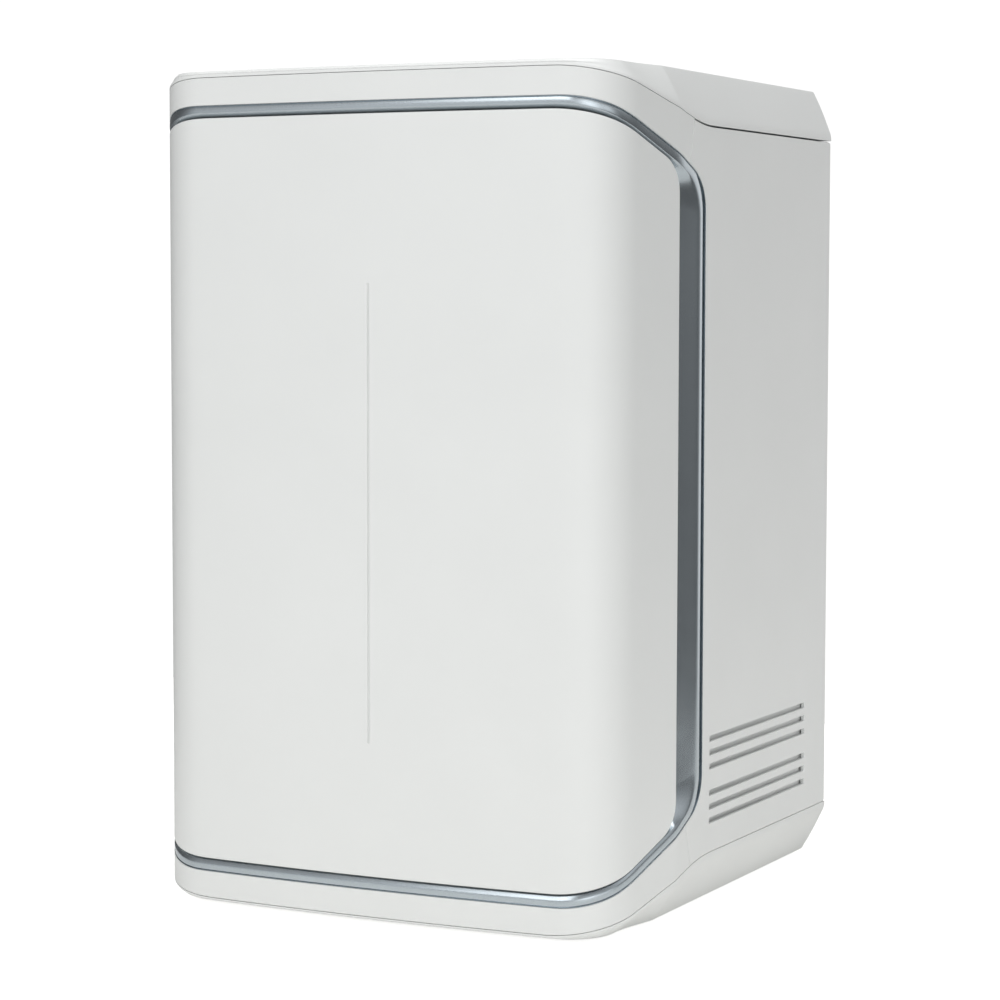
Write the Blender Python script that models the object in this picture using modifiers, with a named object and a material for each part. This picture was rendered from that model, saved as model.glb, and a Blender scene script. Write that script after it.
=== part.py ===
"""Ultrapure water system: a bench case with a wrap-round front door over its cartridges.

All sizes are in metres. In the case's own frame X is 0 in the middle, Y is 0 at the foremost
point of the front and grows towards the back, and Z is 0 at the underside of the bottom cover.
A parent empty stands the case on its feet with the world origin under the middle of its box.
"""

import bisect
import math
from collections import namedtuple

import bmesh
import bpy
from mathutils import Matrix, Vector

# Case
WIDTH = 0.373
DEPTH = 0.370
HEIGHT = 0.570
WALL = 0.0025
SHEET = 0.002
SEAM = 0.0006
GAP = 0.0003
OVERRUN = 0.002
MERGE = 0.00001
FLAT_ANGLE = math.radians(0.2)
ROUND_ANGLE = math.radians(35)
ROUND_STEPS = 20

# Plan outline of the case: a bowed front, round corners, slanted flanks, straight sides
FRONT_CORNER_SETBACK = 0.0495
FRONT_HALF_SPAN = WIDTH / 2 - FRONT_CORNER_SETBACK
FRONT_BOW = 0.005
CORNER_RADIUS = 0.044
FLANK_SLANT = math.radians(11.5)
FLANK_BLEND_RADIUS = 0.030
OUTLINE_STEPS = (4, 8, 1, 2, 1)

# Slanted corner lines of the door, the trim's crease and its outer edge, on the unrolled case
Ring = namedtuple("Ring", "half low high run_low run_high rise drop bend_radius end_radius")
DOOR_EDGE_DEPTH = 0.0873
DOOR_LOW = 0.0303
DOOR_BELOW_TOP = 0.0316
DOOR_HIGH = HEIGHT - DOOR_BELOW_TOP
DOOR_RUN_LOW = 0.082
DOOR_RUN_HIGH = 0.084
DOOR_RISE = 0.0368
DOOR_DROP = 0.0352
DOOR_BEND_RADIUS = 0.145
DOOR_END_RADIUS = 0.026
CREASE_WIDTH = 0.033
CREASE_LOW = 0.0258
CREASE_HIGH = 0.0046
CREASE_RUN = 0.036
CREASE_FALL = 0.0155
TRIM_EDGE_DEPTH = 0.131
TRIM_LOW = 0.0215
TRIM_BELOW_TOP = 0.0233
TRIM_HIGH = HEIGHT - TRIM_BELOW_TOP
TRIM_RUN_LOW = 0.1275
TRIM_RUN_HIGH = 0.1272
TRIM_RISE = 0.0554
TRIM_DROP = 0.0521
TRIM_BEND_RADIUS = 0.12
TRIM_END_RADIUS = 0.030
TRIM_RECESS = 0.014
TRIM_FLANGE = 0.010
TRIM_RETURN = 0.003
TRIM_WALL = 0.0016
FRONT_RUN_STEPS = 6
BEND_STEPS = 4
SLANT_STEPS = 8
END_STEPS = 5

# Covers, fascias and side panels
SLANT_SHARES = (0.0, 0.5, 1.0)
COVER_FRONT_DROP = 0.0041
COVER_SIDE_DROP = 0.0329
BASE_FRONT_RISE = 0.0029
BASE_SIDE_RISE = 0.0354
RAMP_BEFORE_CORNER = 0.012
RAMP_PAST_CORNER = 0.163
EDGE_BEFORE_CORNER = 0.009
EDGE_PAST_CORNER = 0.078
RAMP_START = FRONT_HALF_SPAN - RAMP_BEFORE_CORNER
RAMP_END = FRONT_HALF_SPAN + RAMP_PAST_CORNER
EDGE_START = FRONT_HALF_SPAN - EDGE_BEFORE_CORNER
EDGE_END = FRONT_HALF_SPAN + EDGE_PAST_CORNER
EDGE_FRONT_INSET = 0.0043
EDGE_SIDE_INSET = 0.0183
LIP_FRONT = 0.0010
LIP_SIDE = 0.0045
EDGE_BULGE = 0.0008
RAMP_STEPS = 10
SEAM_DEPTH_AT_TRIM = 0.1025
SEAM_DEPTH_AT_COVER = 0.1105
SHADOW_GAP = 0.0012

SOFFIT_LEDGE = 0.012

# Vent slots, in two groups of three on each side
SLOT_FRONT = 0.1435
SLOT_BACK_MARGIN = 0.045
SLOT_BACK = DEPTH - SLOT_BACK_MARGIN
SLOT_HEIGHT = 0.0041
SLOT_PITCH = 0.0096
SLOT_GROUP_PITCH = 0.0374
SLOT_LOWEST = 0.0583
SLOTS_IN_GROUP = 3
SLOT_GROUPS = 2

# Chassis, base frame and feet
CHASSIS_FRONT = 0.088
CHASSIS_LOW = 0.044
BULKHEAD_DEPTH = 0.215
REAR_BAY = DEPTH - BULKHEAD_DEPTH
REAR_BAY_MIDDLE = (BULKHEAD_DEPTH + DEPTH) / 2
WINDOW_FRONT_MARGIN = 0.010
WINDOW_BACK_MARGIN = 0.025
WINDOW_FRONT = BULKHEAD_DEPTH + WINDOW_FRONT_MARGIN
WINDOW_BACK = DEPTH - WINDOW_BACK_MARGIN
WINDOW_LOW = 0.052
WINDOW_HIGH = 0.126
BASE_SIDE_MARGIN = 0.0365
BASE_HALF = WIDTH / 2 - BASE_SIDE_MARGIN
BASE_FRONT = 0.092
BASE_BACK_MARGIN = 0.025
BASE_BACK = DEPTH - BASE_BACK_MARGIN
FOOT_RADIUS = 0.012
FOOT_HEIGHT = 0.003
FOOT_SIDE_MARGIN = 0.0515
FOOT_SIDE = WIDTH / 2 - FOOT_SIDE_MARGIN
FOOT_FRONT = 0.045
FOOT_BACK_MARGIN = 0.040
FOOT_BACK = DEPTH - FOOT_BACK_MARGIN
FOOT_TAPER_SHARE = 0.8

# Door
RIM_DEPTH = 0.009
LINER_DEPTH = 0.0062
GUIDE_WIDTH = 0.0022
GUIDE_LOW = 0.1206
GUIDE_BELOW_TOP = 0.143
GUIDE_HIGH = HEIGHT - GUIDE_BELOW_TOP
GUIDE_THICKNESS = 0.0040
BOARD_WIDTH = 0.012
BOARD_THICKNESS = 0.0012
DOOR_CLEARANCE = 0.0004

# Hinge
HINGE_INSET = 0.009
HINGE_BEHIND = 0.0056
HINGE_LUG_RADIUS = 0.004
HINGE_LUG_THICKNESS = 0.003
HINGE_HOLE_RADIUS = 0.0023
HINGE_PIN_RADIUS = 0.0019
HINGE_HEAD_RADIUS = 0.0034
HINGE_HEAD_THICKNESS = 0.0015
HINGE_LOW = 0.110
HINGE_BELOW_TOP = 0.110
HINGE_HIGH = HEIGHT - HINGE_BELOW_TOP
HINGE_LEAF_FRONT = 0.101
HINGE_LEAF_BACK = 0.124
HINGE_LEAF_MARGIN = 0.012
HINGE_WINDOW_FRONT = 0.0853
HINGE_WINDOW_BACK = 0.104
HINGE_WINDOW_MARGIN = 0.001
LUG_WIDTH = 0.006
LUG_REACH = 0.026
HOLE_STEPS = 16

# Magnets and strikes
MAGNET_BELOW_MIDDLE = 0.035
MAGNET_LOW = HEIGHT / 2 - MAGNET_BELOW_MIDDLE
MAGNET_HEIGHT = 0.060
MAGNET_WIDTH = 0.012
MAGNET_REACH = 0.016
MAGNET_STEP = 0.004
STRIKE_THICKNESS = 0.0025

# Cartridges and manifold
MANIFOLD_SIDE_MARGIN = 0.0345
MANIFOLD_HALF = WIDTH / 2 - MANIFOLD_SIDE_MARGIN
CARTRIDGES = 3
CARTRIDGE_SPACE = 0.016
CARTRIDGE_SIDE_MARGIN = 0.004
CARTRIDGE_RADIUS = (MANIFOLD_HALF - CARTRIDGE_SPACE - CARTRIDGE_SIDE_MARGIN) / CARTRIDGES
CARTRIDGE_PITCH = 2 * CARTRIDGE_RADIUS + CARTRIDGE_SPACE
CARTRIDGE_DEPTH = 0.130
CARTRIDGE_LOW = 0.084
SHOULDER_RADIUS = 0.030
SHOULDER_HEIGHT = 0.014
FLOOR_ROUND = 0.008
NECK_RADIUS = 0.020
NECK_REACH = 0.020
NECK_GAP = 0.002
NECK_CLEARANCE = 0.0007
PADDLE_LENGTH = 0.062
PADDLE_WIDTH = 0.012
PADDLE_HEIGHT = 0.018
MANIFOLD_FRONT = 0.094
MANIFOLD_BELOW_TOP = 0.104
MANIFOLD_HEIGHT = 0.040
MANIFOLD_HIGH = HEIGHT - MANIFOLD_BELOW_TOP
MANIFOLD_LOW = MANIFOLD_HIGH - MANIFOLD_HEIGHT
MANIFOLD_EDGE = 0.003
PORT_SIDE = CARTRIDGE_PITCH / 2
PORT_RADIUS = 0.012
PORT_LENGTH = 0.008
PORT_BORE_RADIUS = 0.008
PORT_BORE_FLOOR = 0.002
CAP_RADIUS = 0.015
CAP_LENGTH = 0.014
CAP_WALL = 0.002
CAP_PLAY = 0.0005
WING_LENGTH = 0.026
WING_WIDTH = 0.005
WING_HEIGHT = 0.006

# Drip tray
TRAY_SIDE_MARGIN = 0.0265
TRAY_HALF = WIDTH / 2 - TRAY_SIDE_MARGIN
TRAY_FRONT = 0.094
TRAY_HEIGHT = 0.015

# Feed pump
PUMP_HEIGHT = 0.104
PUMP_DEPTH = REAR_BAY_MIDDLE
MOTOR_RADIUS = 0.036
MOTOR_SIDE_MARGIN = 0.0285
MOTOR_LEFT = MOTOR_SIDE_MARGIN - WIDTH / 2
MOTOR_LENGTH = 0.082
MOTOR_END_ROUND = 0.006
PUMP_HEAD_RADIUS = 0.033
PUMP_HEAD_LENGTH = 0.040
PUMP_WAIST_RADIUS = 0.024
PUMP_WAIST_SHARE = 0.4
RAIL_WIDTH = 0.046
RAIL_SADDLE_LENGTH = 0.018
RAIL_THICKNESS = 0.003

# Deionisation stack
STACK_SIDE_MARGIN = 0.0315
STACK_LEFT = STACK_SIDE_MARGIN - WIDTH / 2
STACK_WIDTH_SHARE = 0.228
STACK_WIDTH = WIDTH * STACK_WIDTH_SHARE
STACK_DEPTH_SHARE = 0.645
STACK_DEPTH = REAR_BAY * STACK_DEPTH_SHARE
STACK_LOW = 0.190
STACK_BELOW_TOP = 0.170
STACK_HEIGHT = HEIGHT - STACK_BELOW_TOP - STACK_LOW
END_PLATE = 0.014
END_PLATE_OVERHANG = 0.006
ROD_RADIUS = 0.003

# Ultraviolet lamp
LAMP_BESIDE_STACK = 0.039
LAMP_SIDE = STACK_LEFT + STACK_WIDTH + LAMP_BESIDE_STACK
LAMP_RADIUS = 0.028
LAMP_LOW = 0.200
LAMP_BELOW_TOP = 0.150
LAMP_LENGTH = HEIGHT - LAMP_BELOW_TOP - LAMP_LOW
LAMP_CAP_RADIUS = 0.030
LAMP_CAP_HEIGHT = 0.018
SADDLE_WIDTH = 0.030
SADDLE_HEIGHT = 0.016
SADDLE_DEPTH = 0.012

# Control board, power supply and valves
BOARD_SIDE_MARGIN = 0.0315
BOARD_WIDTH_SHARE = 0.295
BOARD_SPAN = WIDTH * BOARD_WIDTH_SHARE
BOARD_LEFT = WIDTH / 2 - BOARD_SIDE_MARGIN - BOARD_SPAN
BOARD_LOW = 0.200
BOARD_BELOW_TOP = 0.160
BOARD_HEIGHT = HEIGHT - BOARD_BELOW_TOP - BOARD_LOW
BOARD_STANDOFF = 0.010
BOARD_SHEET = 0.0016
STANDOFF_RADIUS = 0.003
STANDOFF_INSET = 0.008
STANDOFF_STEPS = 12
SUPPLY_SIDE_MARGIN = 0.0665
SUPPLY_WIDTH_SHARE = 0.268
SUPPLY_WIDTH = WIDTH * SUPPLY_WIDTH_SHARE
SUPPLY_LEFT = WIDTH / 2 - SUPPLY_SIDE_MARGIN - SUPPLY_WIDTH
SUPPLY_FRONT = WINDOW_FRONT
SUPPLY_DEPTH_SHARE = 0.58
SUPPLY_DEPTH = REAR_BAY * SUPPLY_DEPTH_SHARE
SUPPLY_HEIGHT = 0.050
VALVES = 3
VALVE_SIDE_MARGIN = 0.005
VALVE_SPARE = 0.014
VALVE_WIDTH = 0.024
VALVE_LEFT = BOARD_LEFT + VALVE_SIDE_MARGIN
VALVE_PITCH = (BOARD_SPAN - VALVE_WIDTH - VALVE_SPARE) / (VALVES - 1)
VALVE_DEPTH = 0.034
VALVE_BELOW_TOP = 0.130
VALVE_LOW = HEIGHT - VALVE_BELOW_TOP
VALVE_HEIGHT = 0.030
COIL_RADIUS = 0.010
COIL_HEIGHT = 0.026

# Cooling fan on the right wall of the chassis
FAN_SIZE = 0.080
FAN_THICKNESS = 0.025
FAN_RIM = 0.0025
FAN_TIP_CLEARANCE = 0.002
FAN_BORE_RADIUS = FAN_SIZE / 2 - FAN_RIM
FAN_TIP_RADIUS = FAN_BORE_RADIUS - FAN_TIP_CLEARANCE
FAN_HUB_RADIUS = 0.015
FAN_SEAT_THICKNESS = 0.004
FAN_STRUT_WIDTH = 0.005
FAN_BLADES = 7
FAN_BLADE_THICKNESS = 0.0016
FAN_BLADE_PITCH = math.radians(38)
FAN_BLADE_DEPTH_SHARE = 0.85

# Power entry on the rear panel
ENTRY_SIDE_MARGIN = 0.072
ENTRY_SIDE = WIDTH / 2 - ENTRY_SIDE_MARGIN
ENTRY_LEVEL = 0.098
ENTRY_WIDTH = 0.052
ENTRY_HEIGHT = 0.058
ENTRY_DEPTH = 0.026
ENTRY_FLANGE = 0.003
ENTRY_FLANGE_MARGIN = 0.005
SOCKET_WIDTH = 0.0245
SOCKET_HEIGHT = 0.0165
SOCKET_DEPTH = 0.0165
SOCKET_RISE = 0.001
PIN_WIDTH = 0.002
PIN_HEIGHT = 0.004
PIN_LENGTH = 0.0095
PIN_SPREAD = 0.007
SWITCH_WIDTH = 0.020
SWITCH_HEIGHT = 0.013
SWITCH_DEPTH = 0.010
SWITCH_RISE = 0.019
ROCKER_PLAY = 0.0012
ROCKER_PROUD = 0.0025
ROCKER_TILT = math.radians(9)
ROCKER_DISH_SHARE = 0.33
FUSE_WIDTH = 0.026
FUSE_HEIGHT = 0.008
FUSE_DEPTH = 0.022
FUSE_RISE = -0.019
FUSE_PLAY = 0.0004
FUSE_FRONT = 0.0018
FUSE_FRONT_MARGIN = 0.0014

# Data sockets on the rear panel
DATA_BESIDE_ENTRY = 0.080
DATA_SIDE = ENTRY_SIDE - DATA_BESIDE_ENTRY
DATA_LEVEL = 0.098
DATA_PITCH = 0.018
DATA_SOCKETS = 3
DATA_OPENING_WIDTH = 0.0118
DATA_OPENING_HEIGHT = 0.0085
DATA_DEPTH = 0.014
DATA_WALL = 0.0025
DATA_FLANGE = 0.0012

# Tube fittings on the rear panel
FITTING_SIDE_MARGIN = 0.0465
FITTING_PITCH = 0.035
FITTING_LEVEL = 0.165
FITTING_NUT_RADIUS = 0.0105
FITTING_NUT_THICKNESS = 0.006
FITTING_BARREL_RADIUS = 0.0085
FITTING_BARREL_LENGTH = 0.008
FITTING_STEM_RADIUS = 0.0065
FITTING_STEM_LENGTH = 0.014
FITTING_BORE_RADIUS = 0.0042
FITTING_BORE_DEPTH = 0.018
COLLAR_RADIUS = 0.0062
COLLAR_POCKET = 0.004
COLLAR_PLAY = 0.0004
COLLAR_FLANGE_RADIUS = 0.0072
COLLAR_FLANGE = 0.0012
COLLAR_TRAVEL = 0.0012

# Tubes inside the case
TUBE_RADIUS = 0.004
TUBE_STEPS = 12
TUBE_LEAD = 0.005
TUBE_PULL_SHARE = 0.29
STUB_RADIUS = 0.005
STUB_LENGTH = 0.010
STUB_SPREAD = 0.010
STUB_BESIDE_LAMP = 0.011


def plan_stretches():
    """Length and curvature of each stretch of half the plan outline, from the middle to the back."""
    bow_radius = (FRONT_HALF_SPAN**2 + FRONT_BOW**2) / (2 * FRONT_BOW)
    bow_turn = math.asin(FRONT_HALF_SPAN / bow_radius)
    corner_turn = math.pi / 2 - FLANK_SLANT - bow_turn
    corner_width = CORNER_RADIUS * (math.cos(FLANK_SLANT) - math.sin(bow_turn))
    blend_width = FLANK_BLEND_RADIUS * (1 - math.cos(FLANK_SLANT))
    flank_width = WIDTH / 2 - FRONT_HALF_SPAN - corner_width - blend_width
    rounded = [
        (bow_radius * bow_turn, 1 / bow_radius),
        (CORNER_RADIUS * corner_turn, 1 / CORNER_RADIUS),
        (flank_width / math.sin(FLANK_SLANT), 0),
        (FLANK_BLEND_RADIUS * FLANK_SLANT, 1 / FLANK_BLEND_RADIUS),
    ]
    reached = walk(rounded, math.inf)[1]
    return rounded + [(DEPTH - reached, 0)]


def walk(stretches, along):
    """Point and heading reached at a distance along the stretches."""
    x = y = heading = 0.0
    for length, curvature in stretches:
        step = min(along, length)
        turned = heading + step * curvature
        if curvature:
            x += (math.sin(turned) - math.sin(heading)) / curvature
            y += (math.cos(heading) - math.cos(turned)) / curvature
        else:
            x += step * math.cos(heading)
            y += step * math.sin(heading)
        heading = turned
        along -= step
    return x, y, heading


def bends_of(stretches):
    """Distances along the half outline at which a sheet wrapped round it is creased."""
    places = [0.0]
    for (length, _), steps in zip(stretches, OUTLINE_STEPS):
        start = places[-1]
        places += [start + length * step / steps for step in range(1, steps + 1)]
    return places


STRETCHES = plan_stretches()
BENDS = bends_of(STRETCHES)
HALF_GIRTH = BENDS[-1]


def inset_point(along, inset):
    """Plan point of the true outline, moved in from its surface."""
    x, y, heading = walk(STRETCHES, along)
    return Vector((x - inset * math.sin(heading), y + inset * math.cos(heading)))


def on_case(along, inset, up):
    """Point of the faceted case, at a distance to the right of the middle along its surface."""
    reach = abs(along)
    index = bisect.bisect(BENDS, reach, 1, len(BENDS) - 1)
    near, far = BENDS[index - 1], BENDS[index]
    share = (reach - near) / (far - near)
    x, y = inset_point(near, inset).lerp(inset_point(far, inset), share)
    return Vector((math.copysign(x, along), y, up))


def along_at(depth):
    """Distance along the half outline at which it lies this far behind the front."""
    low, high = 0.0, HALF_GIRTH
    while high - low > MERGE:
        middle = (low + high) / 2
        if walk(STRETCHES, middle)[1] < depth:
            low = middle
        else:
            high = middle
    return low


DOOR_RING = Ring(
    along_at(DOOR_EDGE_DEPTH), DOOR_LOW, DOOR_HIGH, DOOR_RUN_LOW, DOOR_RUN_HIGH,
    DOOR_RISE, DOOR_DROP, DOOR_BEND_RADIUS, DOOR_END_RADIUS,
)
CREASE_RING = Ring(
    DOOR_RING.half + CREASE_WIDTH, CREASE_LOW, DOOR_HIGH + CREASE_HIGH,
    DOOR_RUN_LOW + CREASE_RUN, DOOR_RUN_HIGH + CREASE_RUN,
    DOOR_RISE + CREASE_FALL, DOOR_DROP + CREASE_FALL, TRIM_BEND_RADIUS, TRIM_END_RADIUS,
)
TRIM_RING = Ring(
    along_at(TRIM_EDGE_DEPTH), TRIM_LOW, TRIM_HIGH, TRIM_RUN_LOW, TRIM_RUN_HIGH,
    TRIM_RISE, TRIM_DROP, TRIM_BEND_RADIUS, TRIM_END_RADIUS,
)


def grown(ring, distance):
    """The ring moved out all round by a distance, or in by a negative one."""
    return ring._replace(
        half=ring.half + distance, low=ring.low - distance, high=ring.high + distance
    )


def spread(start, end, steps):
    """Evenly spaced points from start up to, but without, end."""
    return [start.lerp(end, step / steps) for step in range(steps)]


def rounded_corner(before, corner, after, radius, steps):
    """Points of the arc that rounds a corner between two straight runs."""
    back, ahead = (before - corner).normalized(), (after - corner).normalized()
    half_angle = back.angle(ahead) / 2
    centre = corner + (back + ahead).normalized() * (radius / math.sin(half_angle))
    start = corner + back * (radius / math.tan(half_angle)) - centre
    turn = math.copysign(math.pi - 2 * half_angle, back.cross(ahead) * -1)
    return [
        centre + Matrix.Rotation(turn * step / steps, 2) @ start for step in range(steps + 1)
    ]


def half_ring(ring):
    """Right half of a ring on the unrolled case, from its lowest middle point to its highest."""
    low, high = Vector((0, ring.low)), Vector((0, ring.high))
    corners = [
        (Vector((ring.half - ring.run_low, ring.low)), ring.bend_radius, BEND_STEPS),
        (Vector((ring.half, ring.low + ring.rise)), ring.end_radius, END_STEPS),
        (Vector((ring.half, ring.high - ring.drop)), ring.end_radius, END_STEPS),
        (Vector((ring.half - ring.run_high, ring.high)), ring.bend_radius, BEND_STEPS),
    ]
    places = [low] + [corner for corner, _, _ in corners] + [high]
    arcs = [
        rounded_corner(places[index], corner, places[index + 2], radius, steps)
        for index, (corner, radius, steps) in enumerate(corners)
    ]
    runs = zip([low] + [arc[-1] for arc in arcs], [arc[0] for arc in arcs] + [high],
               (FRONT_RUN_STEPS, SLANT_STEPS, 1, SLANT_STEPS, FRONT_RUN_STEPS))
    points = []
    for (start, end, steps), arc in zip(runs, arcs + [[high]]):
        points += spread(start, end, steps) + arc[:-1]
    return points + [high]


def mirrored(points):
    """A closed outline from a right half that starts and ends on the middle line."""
    return points + [Vector((-x, y)) for x, y in reversed(points[1:-1])]


def cut_at(points, along, beyond):
    """The part of a line inside, or beyond, a distance along the case, with its end points on it."""
    kept = []
    for start, end in zip(points, points[1:]):
        inside = (start.x > along) == beyond
        if inside:
            kept.append(start)
        if (start.x > along) != (end.x > along):
            kept.append(start.lerp(end, (along - start.x) / (end.x - start.x)))
    if (points[-1].x > along) == beyond:
        kept.append(points[-1])
    return kept


def eased(along, start, end):
    """Smooth rise from 0 to 1 between two distances along the case."""
    share = min(max((along - start) / (end - start), 0), 1)
    return share * share * (3 - 2 * share)


def cover_line(along, top):
    """Height of the joint between a cover and the panels, on the unrolled case."""
    ramp = eased(abs(along), RAMP_START, RAMP_END)
    if top:
        return HEIGHT - COVER_FRONT_DROP - COVER_SIDE_DROP * ramp
    return BASE_FRONT_RISE + BASE_SIDE_RISE * ramp


def ramp_places(start, end):
    """Distances along the case at which a sloping edge has points, between two of them."""
    steps = [RAMP_START + (RAMP_END - RAMP_START) * step / RAMP_STEPS for step in range(RAMP_STEPS + 1)]
    return [start] + [place for place in steps if start + MERGE < place < end - MERGE] + [end]


def clear_scene():
    """Removes whatever the scene holds."""
    for item in list(bpy.data.objects):
        bpy.data.objects.remove(item, do_unlink=True)


def new_collection(name):
    """A collection linked to the scene."""
    group = bpy.data.collections.new(name)
    bpy.context.scene.collection.children.link(group)
    return group


def finish(name, colour, roughness, metallic=0.0):
    """A Principled material of one colour."""
    surface = bpy.data.materials.new(name)
    surface.use_nodes = True
    shader = surface.node_tree.nodes["Principled BSDF"]
    shader.inputs["Base Color"].default_value = (*colour, 1)
    shader.inputs["Roughness"].default_value = roughness
    shader.inputs["Metallic"].default_value = metallic
    return surface


class Workshop:
    """The collections, parent and finishes that every piece shares."""

    def __init__(self):
        self.parts = new_collection("ultrapure_water_system")
        self.cutters = new_collection("cutters")
        self.stand = bpy.data.objects.new("stand", None)
        self.stand.location = (0, -(DEPTH + rear_reach()) / 2, FOOT_HEIGHT)
        self.parts.objects.link(self.stand)
        self.white = finish("moulded_white", (0.73, 0.75, 0.72), 0.45)
        self.silver = finish("silver_paint", (0.38, 0.40, 0.44), 0.30, 0.8)
        self.steel = finish("zinc_steel", (0.52, 0.53, 0.55), 0.40, 0.9)
        self.stainless = finish("stainless_steel", (0.62, 0.62, 0.63), 0.25, 1.0)
        self.grey = finish("moulded_grey", (0.30, 0.32, 0.33), 0.55)
        self.black = finish("moulded_black", (0.02, 0.02, 0.022), 0.50)
        self.rubber = finish("rubber", (0.03, 0.03, 0.03), 0.85)
        self.blue = finish("moulded_blue", (0.05, 0.30, 0.48), 0.45)
        self.clear = finish("light_guide", (0.80, 0.83, 0.82), 0.20)
        self.green = finish("circuit_board", (0.02, 0.20, 0.09), 0.45)
        self.brass = finish("brass", (0.60, 0.45, 0.16), 0.30, 1.0)

    def add(self, name, mesh, surface, parent=None):
        """Puts a mesh in the model under its name."""
        mesh.name = name
        mesh.materials.clear()
        mesh.materials.append(surface)
        item = bpy.data.objects.new(name, mesh)
        item.parent = parent or self.stand
        if parent:
            item.location = -parent.location
        self.parts.objects.link(item)
        return item

    def joint(self, name, place, turn=(0, 0, 0)):
        """An empty on a joint's axis, for the pieces that move with it."""
        item = bpy.data.objects.new(name, None)
        item.location = place
        item.rotation_euler = turn
        item.parent = self.stand
        self.parts.objects.link(item)
        return item

    def cut(self, item, cutter):
        """Cuts a mesh away from an object, which keeps the cutter in a collection of its own."""
        self.combine(item, cutter, "DIFFERENCE")

    def combine(self, item, other, operation):
        """Adds a Boolean modifier that works with a mesh in the object's own space."""
        helper = bpy.data.objects.new(f"{item.name}_{operation.lower()}", other)
        helper.hide_render = True
        helper.display_type = "WIRE"
        helper.parent = item
        self.cutters.objects.link(helper)
        step = item.modifiers.new(operation.title(), "BOOLEAN")
        step.operation = operation
        step.solver = "EXACT"
        step.object = helper


def rear_reach():
    """How far the tube fittings stand out behind the rear panel."""
    return fitting_mouth() + COLLAR_TRAVEL + GAP + COLLAR_FLANGE


def fitting_mouth():
    """How far a tube fitting's mouth lies behind the rear panel."""
    return GAP + FITTING_NUT_THICKNESS + FITTING_BARREL_LENGTH


def fitting_sides():
    """Places of the feed, product and drain fittings across the rear panel."""
    last = FITTING_SIDE_MARGIN - WIDTH / 2
    return (last + 2 * FITTING_PITCH, last + FITTING_PITCH, last)


def chassis_high():
    """Top of the chassis, level with the top of the trim's return."""
    return DOOR_HIGH + TRIM_WALL


def mesh_of(bm, name="piece"):
    """Turns a finished bmesh into a mesh with its faces pointing out."""
    bmesh.ops.recalc_face_normals(bm, faces=bm.faces)
    if bm.calc_volume(signed=True) < 0:
        bmesh.ops.reverse_faces(bm, faces=bm.faces)
    mesh = bpy.data.meshes.new(name)
    bm.to_mesh(mesh)
    bm.free()
    return mesh


def box(low, high, edge=0.0):
    """A box between two corners, with its edges cut back where an edge width is given."""
    low, high = Vector(low), Vector(high)
    bm = bmesh.new()
    size = Matrix.Diagonal((*(high - low), 1))
    bmesh.ops.create_cube(bm, size=1, matrix=Matrix.Translation((low + high) / 2) @ size)
    if edge:
        bmesh.ops.bevel(bm, geom=bm.edges[:], offset=edge, segments=1, affect="EDGES")
    return mesh_of(bm)


def flat_plate(outlines, thickness):
    """A flat plate in the XY plane, centred on it, cut to an outline and to the holes after it."""
    curve = bpy.data.curves.new("outline", "CURVE")
    curve.dimensions = "2D"
    curve.fill_mode = "BOTH"
    curve.extrude = thickness / 2
    for outline in outlines:
        spline = curve.splines.new("POLY")
        spline.points.add(len(outline) - 1)
        for point, (x, y) in zip(spline.points, outline):
            point.co = (x, y, 0, 1)
        spline.use_cyclic_u = True
    bm = curve_bmesh(curve)
    bmesh.ops.dissolve_limit(bm, angle_limit=FLAT_ANGLE, verts=bm.verts, edges=bm.edges)
    return bm


def standing_plate(outlines, low, thickness):
    """A plate cut to outlines in plan, lying level with its underside at a height."""
    bm = flat_plate(outlines, thickness)
    bmesh.ops.translate(bm, verts=bm.verts, vec=(0, 0, low + thickness / 2))
    return mesh_of(bm)


def wrapped(outlines, inset, thickness):
    """A sheet cut flat to outlines on the unrolled case, then creased and wrapped round it."""
    bm = flat_plate(outlines, thickness)
    for bend in [0.0] + BENDS[1:-1]:
        for place in {bend, -bend}:
            everything = bm.verts[:] + bm.edges[:] + bm.faces[:]
            bmesh.ops.bisect_plane(bm, geom=everything, plane_co=(place, 0, 0), plane_no=(1, 0, 0),
                                   dist=MERGE)
    for vertex in bm.verts:
        along, up, depth = vertex.co
        vertex.co = on_case(along, inset + thickness / 2 + depth, up)
    return mesh_of(bm)


def loft(rows, way, cap=False):
    """An open surface between rows of matching points, each row a closed loop.

    The last row may be filled. The face that is made last points the given way.
    """
    bm = bmesh.new()
    loops = [[bm.verts.new(point) for point in row] for row in rows]
    for lower, upper in zip(loops, loops[1:]):
        for index in range(len(lower)):
            after = (index + 1) % len(lower)
            last = bm.faces.new((lower[index], lower[after], upper[after], upper[index]))
    if cap:
        last = bm.faces.new(loops[-1])
    bm.normal_update()
    if last.normal.dot(Vector(way)) < 0:
        bmesh.ops.reverse_faces(bm, faces=bm.faces)
    mesh = bpy.data.meshes.new("loft")
    bm.to_mesh(mesh)
    bm.free()
    return mesh


def thicken(item, thickness):
    """Gives an open surface a wall on its inner side."""
    step = item.modifiers.new("Solidify", "SOLIDIFY")
    step.thickness = thickness
    step.offset = -1
    step.use_even_offset = True


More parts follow.
